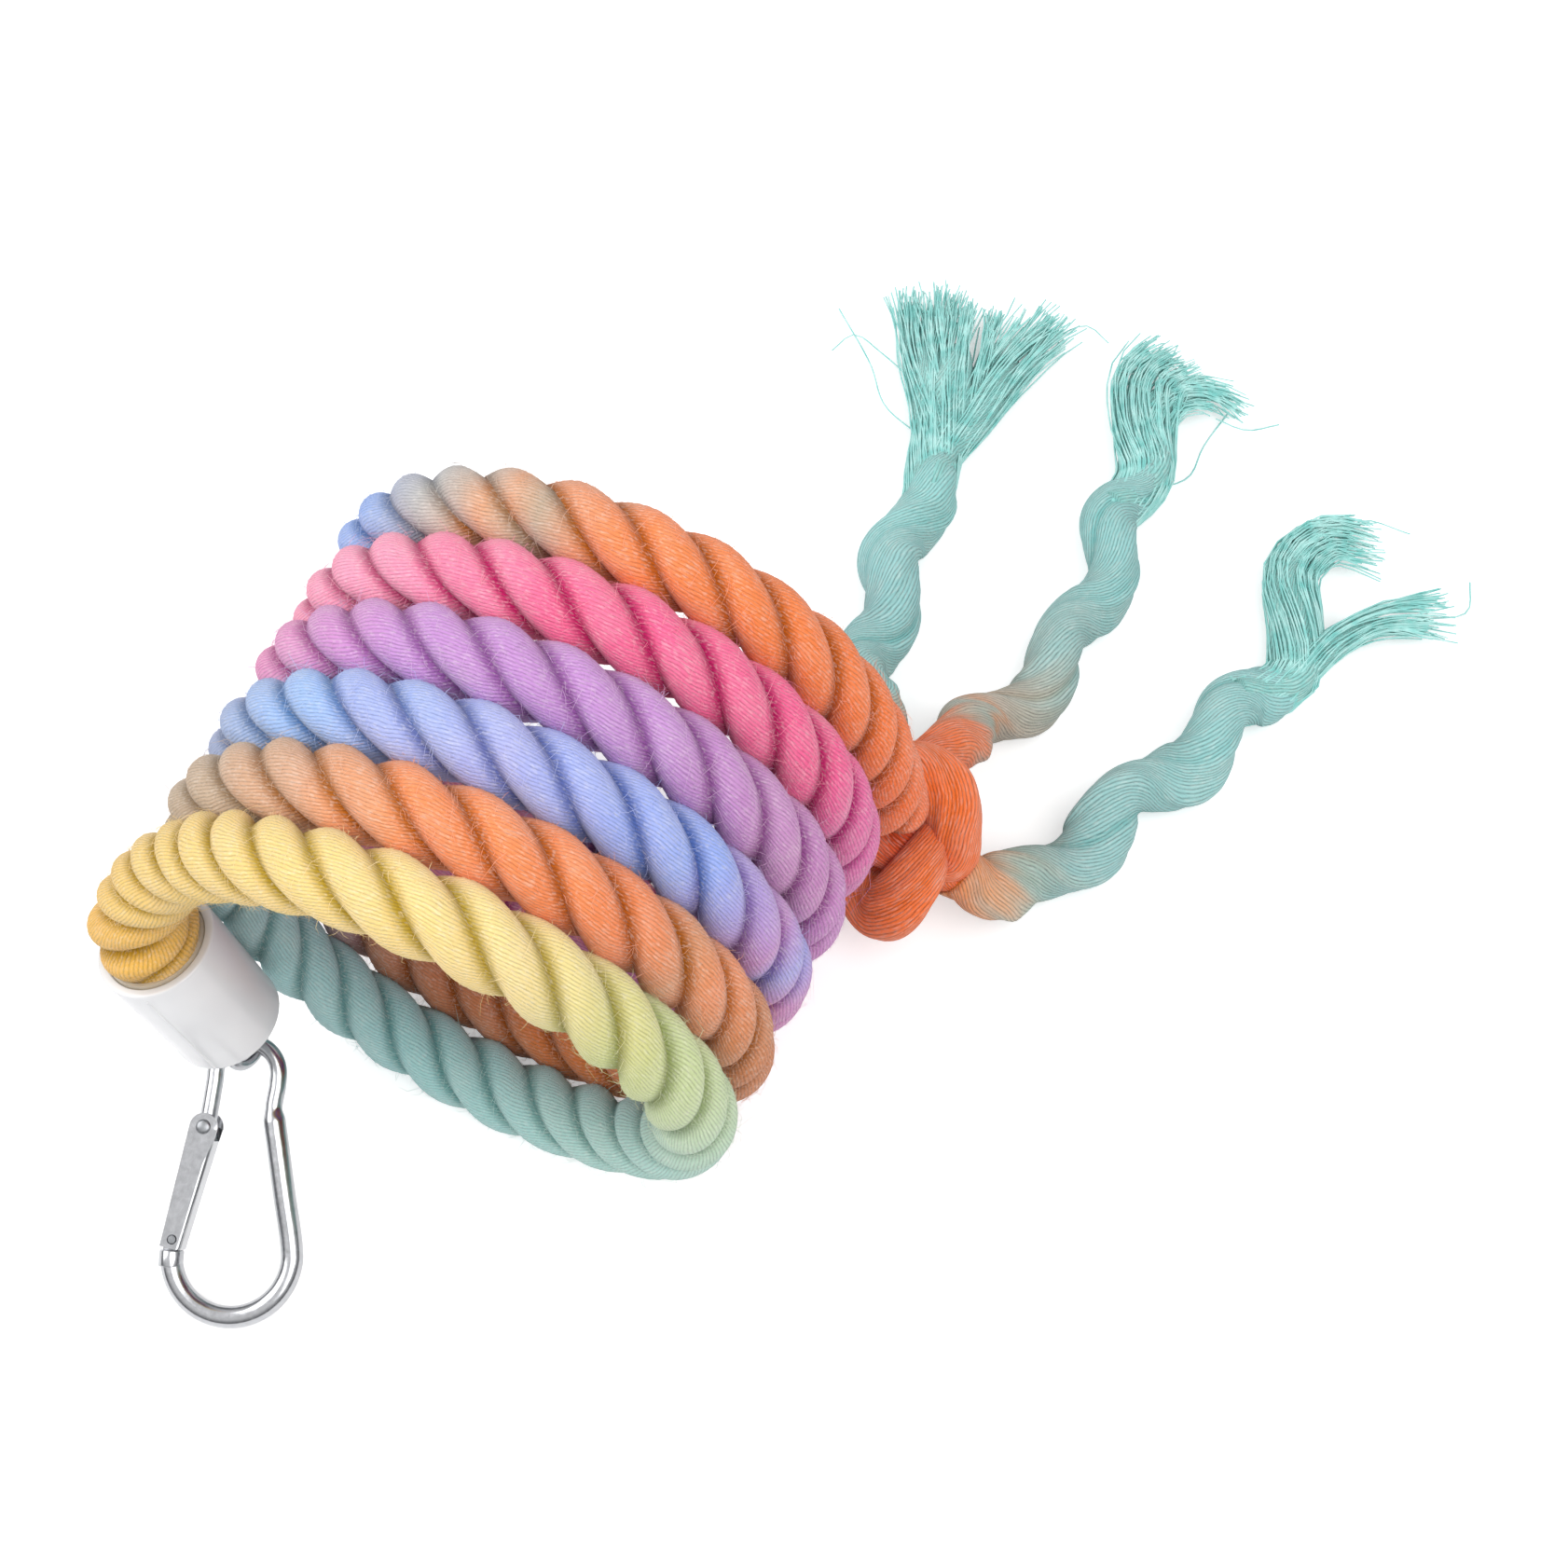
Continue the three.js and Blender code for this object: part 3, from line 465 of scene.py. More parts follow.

# %% [markdown]
# ## Lint
# Cotton is spun from short hairs, and thousands of their ends stand off the rope and soften its
# outline. Each hair here is a bent thread of three points that starts on the strand's surface. It is
# drawn about four times as thick as a real one, because a finer one wouldn't show. The hairs are made
# on the straight rope and are laid exactly as the rope is.

# %% Threads as a mesh
def threads_to_mesh(name, threads, radius, placed):
    """Threads, each its places and its thicknesses, as one closed mesh of four-sided tubes."""
    curve = bpy.data.curves.new(name, "CURVE")
    curve.dimensions = "3D"
    curve.bevel_depth = radius
    curve.bevel_resolution = 0
    curve.use_fill_caps = True
    for places, thickness in threads:
        spline = curve.splines.new("POLY")
        spline.points.add(len(places) - 1)
        flat = np.column_stack([placed(places), np.ones(len(places))])
        spline.points.foreach_set("co", flat.astype(np.float32).ravel())
        thickness = np.broadcast_to(np.asarray(thickness, np.float32), len(places))
        spline.points.foreach_set("radius", np.ascontiguousarray(thickness))
    holder = shown(name, curve)
    graph = bpy.context.evaluated_depsgraph_get()
    mesh = bpy.data.meshes.new_from_object(holder.evaluated_get(graph))
    bpy.data.objects.remove(holder)
    mesh.name = name
    mesh.shade_smooth()
    return shown(name, mesh)


HAIRS = 8000
print("hairs: %.1f on each millimetre of rope" % (2 * HAIRS / straight_length))

# %% Hairs on the rope
HAIR_RADIUS = 0.042
HAIRS_FROM = 45
HAIRS_UNTIL = straight_length - 6
SHORT_HAIRS = (1.2, 2.6)
LONG_HAIRS = (2.6, 5.5)
SHORT_SHARE = 0.84
HAIR_RISE = (0.55, 0.3)
HAIR_ROOT = 0.15
HAIR_BENDS = ((0, 0), (0.5, 0.15), (1, 0.75))
HAIR_THICKNESS = (1, 0.9, 0.5)


def surface_radius(along, angle):
    """How far the three-lobed surface is from the rope's middle."""
    third = 2 * math.pi / 3
    from_crown = (angle - 2 * math.pi * along / LAY_LENGTH + third / 2) % third - third / 2
    across = STRAND_OFFSET * np.sin(from_crown)
    return STRAND_OFFSET * np.cos(from_crown) + np.sqrt(STRAND_RADIUS**2 - across**2)


def rope_hairs(count, seed):
    rng = np.random.default_rng(seed)
    threads = []
    for _ in range(count):
        along, angle = rng.uniform(HAIRS_FROM, HAIRS_UNTIL), rng.uniform(0, 2 * math.pi)
        short = rng.uniform() < SHORT_SHARE
        length = rng.uniform(*SHORT_HAIRS) if short else rng.uniform(*LONG_HAIRS)
        lean, turned, rise = rng.normal(0, 1), rng.normal(0, 1), abs(rng.normal(*HAIR_RISE))
        reach = surface_radius(along, angle) - HAIR_ROOT
        places = []
        for share, bend in HAIR_BENDS:
            away = reach + length * rise * (share - 0.35 * bend)
            turn = angle + length * share * turned * (1 + bend) / (2 * reach)
            forward = along + length * share * lean / 2
            places.append((forward, away * math.cos(turn), away * math.sin(turn)))
        threads.append((np.array(places), HAIR_THICKNESS))
    return threads


lint = []
lint_straight = []
for name, seed in (("rope_lint", 31), ("rope_lint_more", 32)):
    hairs = threads_to_mesh(name, rope_hairs(HAIRS, seed), HAIR_RADIUS, np.array)
    lint_straight.append(places_of(hairs))
    lay_rope(hairs, settle(lint_straight[-1]))
    lint.append(hairs)
    print("lint:", len(hairs.data.polygons), "faces")

# %% [markdown]
# ## The knot
# At the rope's end its three strands are tied round each other: each one leaves the rope's end, goes
# about three quarters round outside its neighbours and comes out low down. Each loop is one soft strand
# that is built straight and then laid on its own line, with the same section as the strands that follow.

# %% Lines of the knot
KNOT_LOOP_RADIUS = 10.5
STRAND_DIAMETER = 12.0
BACK_FROM_EXIT = 4
PAST_EXIT = 2
EXITS = {
    "a": {"angle": 38, "drop": -1, "out": (0.8, 0.5, -0.33)},
    "b": {"angle": -6, "drop": -3, "out": (0.95, -0.06, -0.3)},
    "c": {"angle": -100, "drop": 4, "out": (0.12, -0.78, -0.6)},
}
KNOT_LOOPS = {
    "a": [(-6, 14, 2), (-8.5, 6, 3.5), (-5.5, 0, 3.5), (1, -3, 2), (7, -1, -2), (8, 8, -8)],
    "b": [
        (9, 2, 1), (7.3, -3.5, 5), (4.3, -10, 7), (0.5, -16, 4), (-3, -18, -3), (-7, -12, -9),
        (0, 5, -11),
    ],
    "c": [(-7, 19, -3), (-2, 15.5, 3), (5, 14, 5.5), (11, 8, 6.5), (13, 0, 5), (13.2, -6.5, 1)],
}
VIEW_DIRECTIONS = np.array([CAMERA_RIGHT, CAMERA_UP, CAMERA_RIGHT.cross(CAMERA_UP)])
knot_turn = Vector((0, 0, -1)).rotation_difference(Vector(KNOT_DIRECTION)).to_matrix()


def exit_of(strand):
    facts = EXITS[strand]
    out = unit(np.array(facts["out"]))
    turn = math.radians(facts["angle"])
    across, up = KNOT_LOOP_RADIUS * math.cos(turn), KNOT_LOOP_RADIUS * math.sin(turn)
    place = Vector((across, up, -facts["drop"]))
    return np.array(knot_turn @ place) + KNOT_MIDDLE + out * STRAND_DIAMETER / 2, out


def knot_line(strand):
    """A loop's line. Its places are right, up and nearer as the camera sees the knot's middle."""
    place, out = exit_of(strand)
    loop = [KNOT_MIDDLE + np.array(seen) @ VIEW_DIRECTIONS for seen in KNOT_LOOPS[strand]]
    return loop + [place - out * BACK_FROM_EXIT, place + out * PAST_EXIT]


for strand in EXITS:
    print("loop %s: %.0f mm" % (strand, lengths_along(through(knot_line(strand)))[-1]))

# %% [markdown]
# ## Soft strands
# Unlaid, a strand is a loose bundle of yarns, about twelve millimetres across, that keeps the wave of
# the rope it came from. It is never quite round: the yarns lie in a few flat folds that wind along it.
# That section is drawn once and screwed along, as the rope's was. The yarns wind with it, so a copy of
# the straight places is kept with the winding taken out, and the yarns are painted along that.

# %% Build a strand
OUTLINE_POINTS = 44
FOLDS = ((0.085, 2, 0), (0.045, 5, 1), (0.02, 9, 0))


def folded_outline(radius):
    """A section that is a little flat, with soft folds."""
    points = []
    for i in range(OUTLINE_POINTS):
        angle = 2 * math.pi * i / OUTLINE_POINTS
        folds = sum(height * math.cos(count * angle + phase) for height, count, phase in FOLDS)
        away = radius * (1 + folds)
        points.append((away * math.cos(angle), away * math.sin(angle)))
    return points


def unwound(straight, lay):
    angle = -2 * math.pi * straight[:, 0] / lay
    y = straight[:, 1] * np.cos(angle) - straight[:, 2] * np.sin(angle)
    z = straight[:, 1] * np.sin(angle) + straight[:, 2] * np.cos(angle)
    return np.column_stack([straight[:, 0], y, z])


def soft_strand(name, line, radius, lay, squeeze, step=0.9):
    """A strand of yarns along a line. squeeze(share) gives its width and height as shares."""
    route = route_of(line)
    length = route["length"][-1]
    piece = screwed(name, folded_outline(radius), length, step, lay)
    straight = places_of(piece)
    remember(piece, "straight", unwound(straight, lay) * MM)
    wide, high = squeeze(straight[:, 0] / length)
    straight = straight * np.column_stack([np.ones(len(straight)), high, wide])
    put(piece, into_part(pressed(laid_along(route, straight))))
    return piece, route


print("the section has", len(folded_outline(1)), "points")

# %% Tie the knot
KNOT_STRAND_RADIUS = 5.9
KNOT_LAY = 75.0
FANNED_OUT = {"a": (0.4, 0.12), "b": (0.4, 0.3), "c": (0.5, 0.22)}


def loop_size(strand):
    """Loops are thin where they come from under another one, and fan out where they are on top."""
    middle, spread = FANNED_OUT[strand]

    def squeeze(share):
        fanned = spread * np.exp(-(((share - middle) / 0.2) ** 2))
        size = 0.86 + fanned - 0.2 * np.exp(-((share / 0.12) ** 2))
        return size * 1.04, size * 0.94

    return squeeze


def joined(pieces):
    """All the pieces as one, which is the first of them."""
    with bpy.context.temp_override(active_object=pieces[0], selected_editable_objects=pieces):
        bpy.ops.object.join()
    return pieces[0]


knot_parts = []
for strand in EXITS:
    loop = through(knot_line(strand))
    tied = soft_strand("knot_" + strand, loop, KNOT_STRAND_RADIUS, KNOT_LAY, loop_size(strand))
    knot_parts.append(tied[0])
knot = joined(knot_parts)
knot.name = "knot"
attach(knot, "tail")
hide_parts("end_knot")
print("knot:", len(knot.data.polygons), "faces")

# %% [markdown]
# ## The three strands on the table
# Each strand drops from the knot to the table and lies there in the slow curves of the photograph. On
# top of its route it winds in a small corkscrew, because it was set that way while it lay in the rope.
# The corkscrew is a little flatter than it is wide, as the strand rests on the table.

# %% Routes on the table, and the corkscrew
STRAND_LAY = 58.0
STRAND_HEIGHT = STRAND_DIAMETER / 2 + TABLE_GAP
CRIMP_LENGTH = 36.0
CRIMP_SIDE = 2.6
CRIMP_LIFT = 1.6
STRAND_ROUTES = {
    "a": [(133, -38.5, 12), (147, -33.5), (165, -31), (185, -28), (204, -25.5)],
    "b": [(137, -66.5, 11), (150, -71.5, 7), (168, -75.5), (188, -76.5), (208, -74), (224, -74.5)],
    "c": [
        (103.5, -89.5, 9.5), (114, -95.5, 7), (134, -104), (152, -112.5), (170, -119.5),
        (185, -127.5),
    ],
}
CRIMP_START = {"a": 1.2, "b": 2.4, "c": 4.4}
CRIMP_GROWS = 30
CRIMP_FADES = 12
STRAND_SIZE = {"a": 1.2, "b": 1.1, "c": 1.14}
STRAND_WAVES = 4
START_SHARES = (0.02, 0.35, 0.7)


def crimped(line, phase):
    """The line with the corkscrew that the strand keeps, growing from nothing at the knot."""
    route = route_of(line)
    along = route["length"]
    grown = np.clip(along / CRIMP_GROWS, 0, 1) * np.clip((along[-1] - along) / CRIMP_FADES, 0, 1)
    turn = 2 * math.pi * along / CRIMP_LENGTH + phase
    aside = np.cross([0, 0, 1], unit(np.gradient(line, axis=0)))
    moved = line + unit(aside) * (CRIMP_SIDE * grown * np.sin(turn))[:, None]
    moved[:, 2] += CRIMP_LIFT * grown * (1 + np.cos(turn))
    return evenly(moved, 1.0)


print("the corkscrew turns once in %.0f mm" % CRIMP_LENGTH)


# %% Lay the strands
def strand_squeeze(phase, size):
    """Narrower on one flank of each wave than on the other, and thinner at both ends."""

    def squeeze(share):
        wave = 0.07 * np.sin(2 * math.pi * share * STRAND_WAVES + phase)
        ends = 0.05 * np.exp(-((share / 0.08) ** 2)) + 0.3 * np.exp(-(((1 - share) / 0.05) ** 2))
        return size * (1.03 + wave - ends), size * (0.93 - wave - ends)

    return squeeze


strand_lines = {}
strands = {}
for letter, places in STRAND_ROUTES.items():
    place, out = exit_of(letter)
    lying = [(*p, STRAND_HEIGHT) if len(p) == 2 else p for p in places]
    start = [place + out * share * STRAND_DIAMETER for share in START_SHARES]
    line = crimped(through(start + [np.array(p, float) for p in lying]), CRIMP_START[letter])
    squeeze = strand_squeeze(CRIMP_START[letter], STRAND_SIZE[letter])
    name = "strand_run_" + letter
    piece, route = soft_strand(name, line, STRAND_DIAMETER / 2, STRAND_LAY, squeeze)
    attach(piece, "tail")
    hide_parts("strand_" + letter)
    strands[letter] = piece
    strand_lines[letter] = (line, route)
    print("strand %s: %.0f mm" % (letter, route["length"][-1]))

# %% [markdown]
# ## Frayed ends
# Past its last stretch each strand opens into single yarns that lie in a few locks. The yarns still lie
# close together along most of a lock, so its middle is a flat soft strand that tapers away. Round it
# and past it every yarn is a thin thread: a curve with a round bevel. It starts in the strand's section,
# follows its lock's line, spreads with the lock's width and keeps a little wave of its own. A few stray
# further than the rest.

# %% Locks and wisps: places, widths along the lock, and the number of yarns
FRAY_LOCKS = {
    "a": [
        ([(220, -18.5, 5.2), (236, -9, 5), (256, 1, 3.6)], (12, 12, 13, 12), 150),
        ([(220, -22, 5.6), (238, -17.5, 5.6), (261, -12, 4)], (12, 14, 17, 17), 190),
        ([(222, -28.5, 5.2), (240, -31, 4.8), (264, -37, 3.4)], (12, 11, 12, 13), 140),
    ],
    "b": [
        ([(238, -69, 5.6), (252, -66, 5.4), (263, -72, 3.6)], (12, 14, 16, 15), 190),
        ([(238, -70, 5.4), (249, -72, 5), (255, -80, 4), (254, -91, 3)], (12, 12, 11, 10, 8), 130),
    ],
    "c": [
        ([(198, -124, 5.6), (214, -117, 5.2), (227, -122, 4.2), (231, -136, 3.2)],
         (12, 13, 14, 15, 13), 200),
        ([(200, -134, 5.2), (211, -143, 4.4), (219, -158, 3.2)], (12, 9, 8, 12), 130),
    ],
}
WISPS = {
    "a": [
        [(212, -19, 4), (218, -6, 2.4), (229, 3, 1), (242, 18, 0.6)],
        [(226, -12, 4), (233, 2, 2), (236, 11, 0.8), (229, 14, 0.6)],
        [(254, -36, 3), (264, -43, 1.6), (262, -50, 0.6)],
    ],
    "b": [
        [(222, -77, 4), (231, -84, 2), (242, -84, 1), (255, -86, 0.8)],
        [(250, -84, 3), (251, -92, 1.6), (257, -99, 0.6)],
    ],
    "c": [
        [(226, -124, 3.5), (238, -128, 1.6), (240, -140, 0.6)],
        [(216, -150, 3), (224, -160, 1.2), (233, -158, 0.6)],
    ],
}
for letter, locks in FRAY_LOCKS.items():
    print("fray %s: %d yarns" % (letter, sum(count for _, _, count in locks)))

# %% The soft middle of a lock
LOCK_STARTS = (16, 8, 0)
LOCK_STEP = 1.5
BODY_SHARE = 0.74
BODY_RADIUS = 6.0
BODY_FILL = 0.92
BODY_LAY = 120.0
BODY_STEP = 1.2


def lock_line(strand_line, places):
    """A lock starts inside the last of its strand and goes on past it."""
    last = [strand_line[-1 - back] for back in LOCK_STARTS]
    return through(last + [np.array(p, float) for p in places], LOCK_STEP)


def lock_body(name, line, widths):
    """The flat soft strand in the middle of a lock, thinner and thinner towards its end."""
    along = lengths_along(line)
    kept = line[along <= BODY_SHARE * along[-1]]

    def squeeze(share):
        place = share * BODY_SHARE
        half = np.interp(place, np.linspace(0, 1, len(widths)), widths) / 2
        height = np.interp(place * along[-1], along, line[:, 2]) - 0.6
        closing = np.sqrt(np.clip(1 - share**3, 0.01, 1))
        return half * closing * BODY_FILL / BODY_RADIUS, height * closing * BODY_FILL / BODY_RADIUS

    return soft_strand(name, kept, BODY_RADIUS, BODY_LAY, squeeze, BODY_STEP)[0]


frays = {}
fray_bodies = {}
for letter, locks in FRAY_LOCKS.items():
    ends = [lock_line(strand_lines[letter][0], places) for places, _, _ in locks]
    print("locks of %s:" % letter, [round(float(lengths_along(end)[-1])) for end in ends], "mm")

# %% The yarns round it
YARN_RADIUS = 0.27
YARN_POINTS = 13
CLUMPS = 7
STRAY_SHARE = 0.07
WISP_STEP = 2.5
WISP_THICKNESS = 0.8
FRAY_SEED = 20


def clump_facts(rng):
    """Where each clump gathers, how far it reaches, and how it drifts and lifts."""
    clumps = []
    for i in range(CLUMPS):
        middle = -0.8 + 1.6 * (i + rng.uniform(0.2, 0.8)) / CLUMPS
        height, reach = rng.uniform(-0.5, 0.7), rng.uniform(0.86, 1)
        clumps.append((middle, height, reach, rng.normal(0, 1.5), rng.uniform(0, 1.6)))
    return clumps


print("each lock's yarns gather in", CLUMPS, "clumps")


# %% Lay the yarns
def lock_threads(line, widths, count, rng):
    """The yarns of one lock. They leave the strand together, gather in clumps and spread."""
    route = route_of(line)
    length = route["length"][-1]
    across = unit(np.cross([0.0, 0.0, 1.0], unit(np.gradient(line, axis=0))))
    clumps = clump_facts(rng)
    threads = []
    for _ in range(count):
        heading, spread = rng.uniform(0, 2 * math.pi), math.sqrt(rng.uniform(0.3, 1.1))
        side, height = spread * math.cos(heading), spread * math.sin(heading)
        nearest = min(CLUMPS - 1, int((side + 1) / 2 * CLUMPS))
        clump_side, clump_height, reach, drift, lift = clumps[nearest]
        stray = rng.uniform() < STRAY_SHARE
        reach *= rng.uniform(0.9, 1.03) if not stray else rng.uniform(0.9, 1.1)
        share = np.linspace(0, min(reach, 1.0), YARN_POINTS)
        along = share * length
        at = np.column_stack([np.interp(along, route["length"], line[:, k]) for k in range(3)])
        aside = np.column_stack([np.interp(along, route["length"], across[:, k]) for k in range(3)])
        half = np.interp(share, np.linspace(0, 1, len(widths)), widths) / 2
        gather = np.clip((share - 0.3) / 0.55, 0, 1) ** 1.3
        turn = 1.3 * (1 - share) ** 2
        start_side = side * np.cos(turn) - height * np.sin(turn)
        start_height = side * np.sin(turn) + height * np.cos(turn)
        sideways = blended(start_side, 0.5 * clump_side + 0.55 * side, gather) * half
        upward = blended(start_height, clump_height * 0.5 + 0.3 * height, gather)
        wave = 0.3 * np.sin(along / rng.uniform(2.0, 4.0) + rng.uniform(0, 6)) * share
        own = rng.normal(0, 3.4 if stray else 1.1)
        curl = rng.normal(0, 2.2)
        at = at + aside * (sideways + wave + (drift + own) * share**2.2 + curl * share**6)[:, None]
        at[:, 2] += upward * np.minimum(5.4, at[:, 2] - 0.3) * (1 - 0.2 * share) + lift * share**2
        at[:, 2] = np.maximum(at[:, 2], 0.4)
        threads.append((at, np.linspace(1, 0.7, YARN_POINTS)))
    return threads


for letter, locks in FRAY_LOCKS.items():
    rng = np.random.default_rng(FRAY_SEED + ord(letter))
    threads = []
    bodies = []
    for places, widths, count in locks:
        lock = lock_line(strand_lines[letter][0], places)
        bodies.append(lock_body("lock_" + letter, lock, widths))
        threads += lock_threads(lock, widths, count, rng)
    threads += [(evenly(through(wisp, 1.0), WISP_STEP), WISP_THICKNESS) for wisp in WISPS[letter]]
    fray = threads_to_mesh("frayed_yarns_" + letter, threads, YARN_RADIUS * MM, into_part)
    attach(fray, "tail")
    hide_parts("frayed_end_" + letter)
    frays[letter] = fray
    body = joined(bodies)
    body.name = "lock_bodies_" + letter
    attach(body, "tail")
    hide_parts("frayed_end_" + letter)
    fray_bodies[letter] = body
    print("fray", letter, len(fray.data.polygons), "faces")

# %% [markdown]
# ## The cords
# The rope and its three strands are the cords; here they are counted.

for letter, strand in strands.items():
    line, route = strand_lines[letter]
print("cords:", 1 + len(strands))

# %% [markdown]
# ## The end cap
# The cap is a short moulded cup, about a twentieth narrower at its closed end so that it leaves the
# mould. Its outline is drawn once and spun round its own axis, and one thin raised line is left where
# the two halves of the mould met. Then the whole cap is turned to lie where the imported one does.

# %% Finish a bmesh as a piece, and spin one from an outline
SPIN_WELD = 1e-6
cap_turn = Matrix.Rotation(-math.pi / 2 - cap_tilt, 4, "X")
cap_frame = Matrix.Translation(Vector(into_part(CAP_MOUTH))) @ cap_turn


def finished(name, bm, place, smooth_below=40):
    """The bmesh as a piece in its place, smooth except at edges sharper than an angle."""
    bmesh.ops.transform(bm, matrix=place, verts=bm.verts)
    mesh = bpy.data.meshes.new(name)
    bm.to_mesh(mesh)
    bm.free()
    mesh.shade_smooth()
    mesh.set_sharp_from_angle(angle=math.radians(smooth_below))
    return shown(name, mesh)


def to_metres(bm):
    bmesh.ops.scale(bm, vec=(MM, MM, MM), verts=bm.verts)


def turned(name, outline, segments, place):
    """A body spun round its own Y axis from a closed outline of (radius, height), in millimetres."""
    bm = bmesh.new()
    verts = [bm.verts.new((radius * MM, height * MM, 0)) for radius, height in outline]
    edges = [bm.edges.new(pair) for pair in zip(verts, verts[1:] + verts[:1])]
    bmesh.ops.spin(
        bm,
        geom=verts + edges,
        cent=(0, 0, 0),
        axis=(0, 1, 0),
        angle=2 * math.pi,
        steps=segments,
        use_merge=True,
    )
    bmesh.ops.remove_doubles(bm, verts=bm.verts, dist=SPIN_WELD)
    bmesh.ops.recalc_face_normals(bm, faces=bm.faces)
    return finished(name, bm, place)


print("the cap's mouth is at", [round(value, 4) for value in cap_frame.translation])

# %% Turn the cap
CAP_MOUTH_RADIUS = 12.8
CAP_END_RADIUS = 12.2
CAP_WALL = 2.0
CAP_END_WALL = 2.5
CAP_ROUND = 1.8
CAP_SEGMENTS = 128
OUTER_RIM = 0.5
INNER_RIM = 0.4
BULGE = 0.28
BULGE_HEIGHT = 15
BOLT_HOLE = 1.55


def quarter(middle_radius, middle_height, size, start, end, steps=6):
    angles = np.radians(np.linspace(start, end, steps))
    return [(middle_radius + size * math.cos(a), middle_height + size * math.sin(a)) for a in angles]


cap_outline = [
    *quarter(CAP_MOUTH_RADIUS - OUTER_RIM, OUTER_RIM, OUTER_RIM, 270, 360, 4),
    (CAP_MOUTH_RADIUS - BULGE, BULGE_HEIGHT),
    *quarter(CAP_END_RADIUS - CAP_ROUND, CAP_LENGTH - CAP_ROUND, CAP_ROUND, 0, 90),
    (BOLT_HOLE, CAP_LENGTH),
    (BOLT_HOLE, CAP_LENGTH - CAP_END_WALL),
    (CAP_END_RADIUS - CAP_WALL, CAP_LENGTH - CAP_END_WALL),
    *quarter(CAP_MOUTH_RADIUS - CAP_WALL + INNER_RIM, INNER_RIM, INNER_RIM, 180, 270, 4),
]
cap = turned("end_cap_shell", cap_outline, CAP_SEGMENTS, cap_frame)
print("cap:", len(cap_outline), "corners in its outline")

# %% The line that the mould left
MOULD_LINE_ANGLE = 157
MOULD_LINE_WIDTH = 0.7
MOULD_LINE_LENGTH = 30
MOULD_LINE_SUNK = 0.08


def mould_line(angle, width, length):
    """The thin ridge along the cap where the two halves of its mould met."""
    bm = bmesh.new()
    bmesh.ops.create_cone(
        bm,
        cap_ends=True,
        radius1=width / 2,
        radius2=width / 2,
        depth=length,
        segments=12,
        matrix=Matrix.Rotation(-math.pi / 2, 4, "X"),
    )
    lean = math.atan2(CAP_MOUTH_RADIUS - CAP_END_RADIUS, CAP_LENGTH)
    bmesh.ops.rotate(bm, cent=(0, 0, 0), matrix=Matrix.Rotation(lean, 3, "Z"), verts=bm.verts)
    middle = (CAP_MOUTH_RADIUS + CAP_END_RADIUS) / 2 - MOULD_LINE_SUNK
    bmesh.ops.translate(bm, vec=(middle, CAP_LENGTH / 2, 0), verts=bm.verts)
    round_axis = Matrix.Rotation(math.radians(angle), 3, "Y")
    bmesh.ops.rotate(bm, cent=(0, 0, 0), matrix=round_axis, verts=bm.verts)
    to_metres(bm)
    return finished("mould_line", bm, cap_frame)


joined([cap, mould_line(MOULD_LINE_ANGLE, MOULD_LINE_WIDTH, MOULD_LINE_LENGTH)])
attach(cap, "rope")
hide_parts("end_cap")
print("cap:", len(cap.data.polygons), "faces")

# %% [markdown]
# ## The glue
# A clear bead of glue fills the gap between rope and cap and stands a little proud of the mouth. It is
# spun in the same way as the cap, from an outline with a rounded rim.

# %% Turn the glue
GLUE_INNER_RADIUS = 8.8
GLUE_OUTER_RADIUS = 10.75
GLUE_DEPTH = 19
GLUE_SEGMENTS = 96
glue_outline = [
    (GLUE_INNER_RADIUS, 2.0),
    (9.2, 0.2),
    (9.9, -0.7),
    (10.5, -0.6),
    (GLUE_OUTER_RADIUS, 0.2),
    (GLUE_OUTER_RADIUS, GLUE_DEPTH),
    (GLUE_INNER_RADIUS, GLUE_DEPTH),
]
glue = turned("glue_ring", glue_outline, GLUE_SEGMENTS, cap_frame)
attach(glue, "rope")
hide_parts("glue_bead")
print("glue:", len(glue.data.polygons), "faces")

# %% [markdown]
# ## The snap hook
# The hook is one piece of round wire. A ring of points starts at the nose, is spun round the bow, pushed
# up the long leg, spun round the small top bend and pushed down to the hinge: the way a wire bender
# works. Above the shoulder on the long leg the wire is drawn thinner, as it is on the real hook, so
# that the eye can slide over it.

# %% The hook's place and its main points
HOOK_APEX = Vector((-108.634, 89.897, 21.499)) * MM
HOOK_HEADING = math.radians(202 - 270)
HOOK_SLOPE = 0.33258
hook_turn = Matrix.Rotation(HOOK_HEADING, 4, "Z") @ Matrix.Rotation(HOOK_SLOPE, 4, "X")
hook_frame = Matrix.Translation(HOOK_APEX) @ hook_turn
WIRE_RADIUS = 2.0
TOP_RADIUS = 6.85
BOW_RADIUS = 13.0
BOW_DROP = 45.5
THIN_SHARE = 0.93
THICK_SHARE = 1.2
SHOULDER_HEIGHT = -14.4
HINGE = Vector((-7.8, -18.6, 0))
NOSE = Vector((-BOW_RADIUS, -BOW_DROP, 0))
gate_turn = math.atan2(NOSE.x - HINGE.x, HINGE.y - NOSE.y)
gate_down = Vector((math.sin(gate_turn), -math.cos(gate_turn), 0))
print("the gate leans by %.1f degrees in the hook's plane" % math.degrees(gate_turn))


# %% A wire that is pushed out ring by ring
def start_ring(bm, centre, direction, radius, segments):
    """A ring of points square to a direction, with its edges."""
    turn = direction.to_track_quat("Z", "Y").to_matrix().to_4x4()
    place = Matrix.Translation(centre) @ turn
    made = bmesh.ops.create_circle(bm, cap_ends=False, radius=radius, segments=segments, matrix=place)
    ring = made["verts"]
    return ring + list({edge for vert in ring for edge in vert.link_edges})


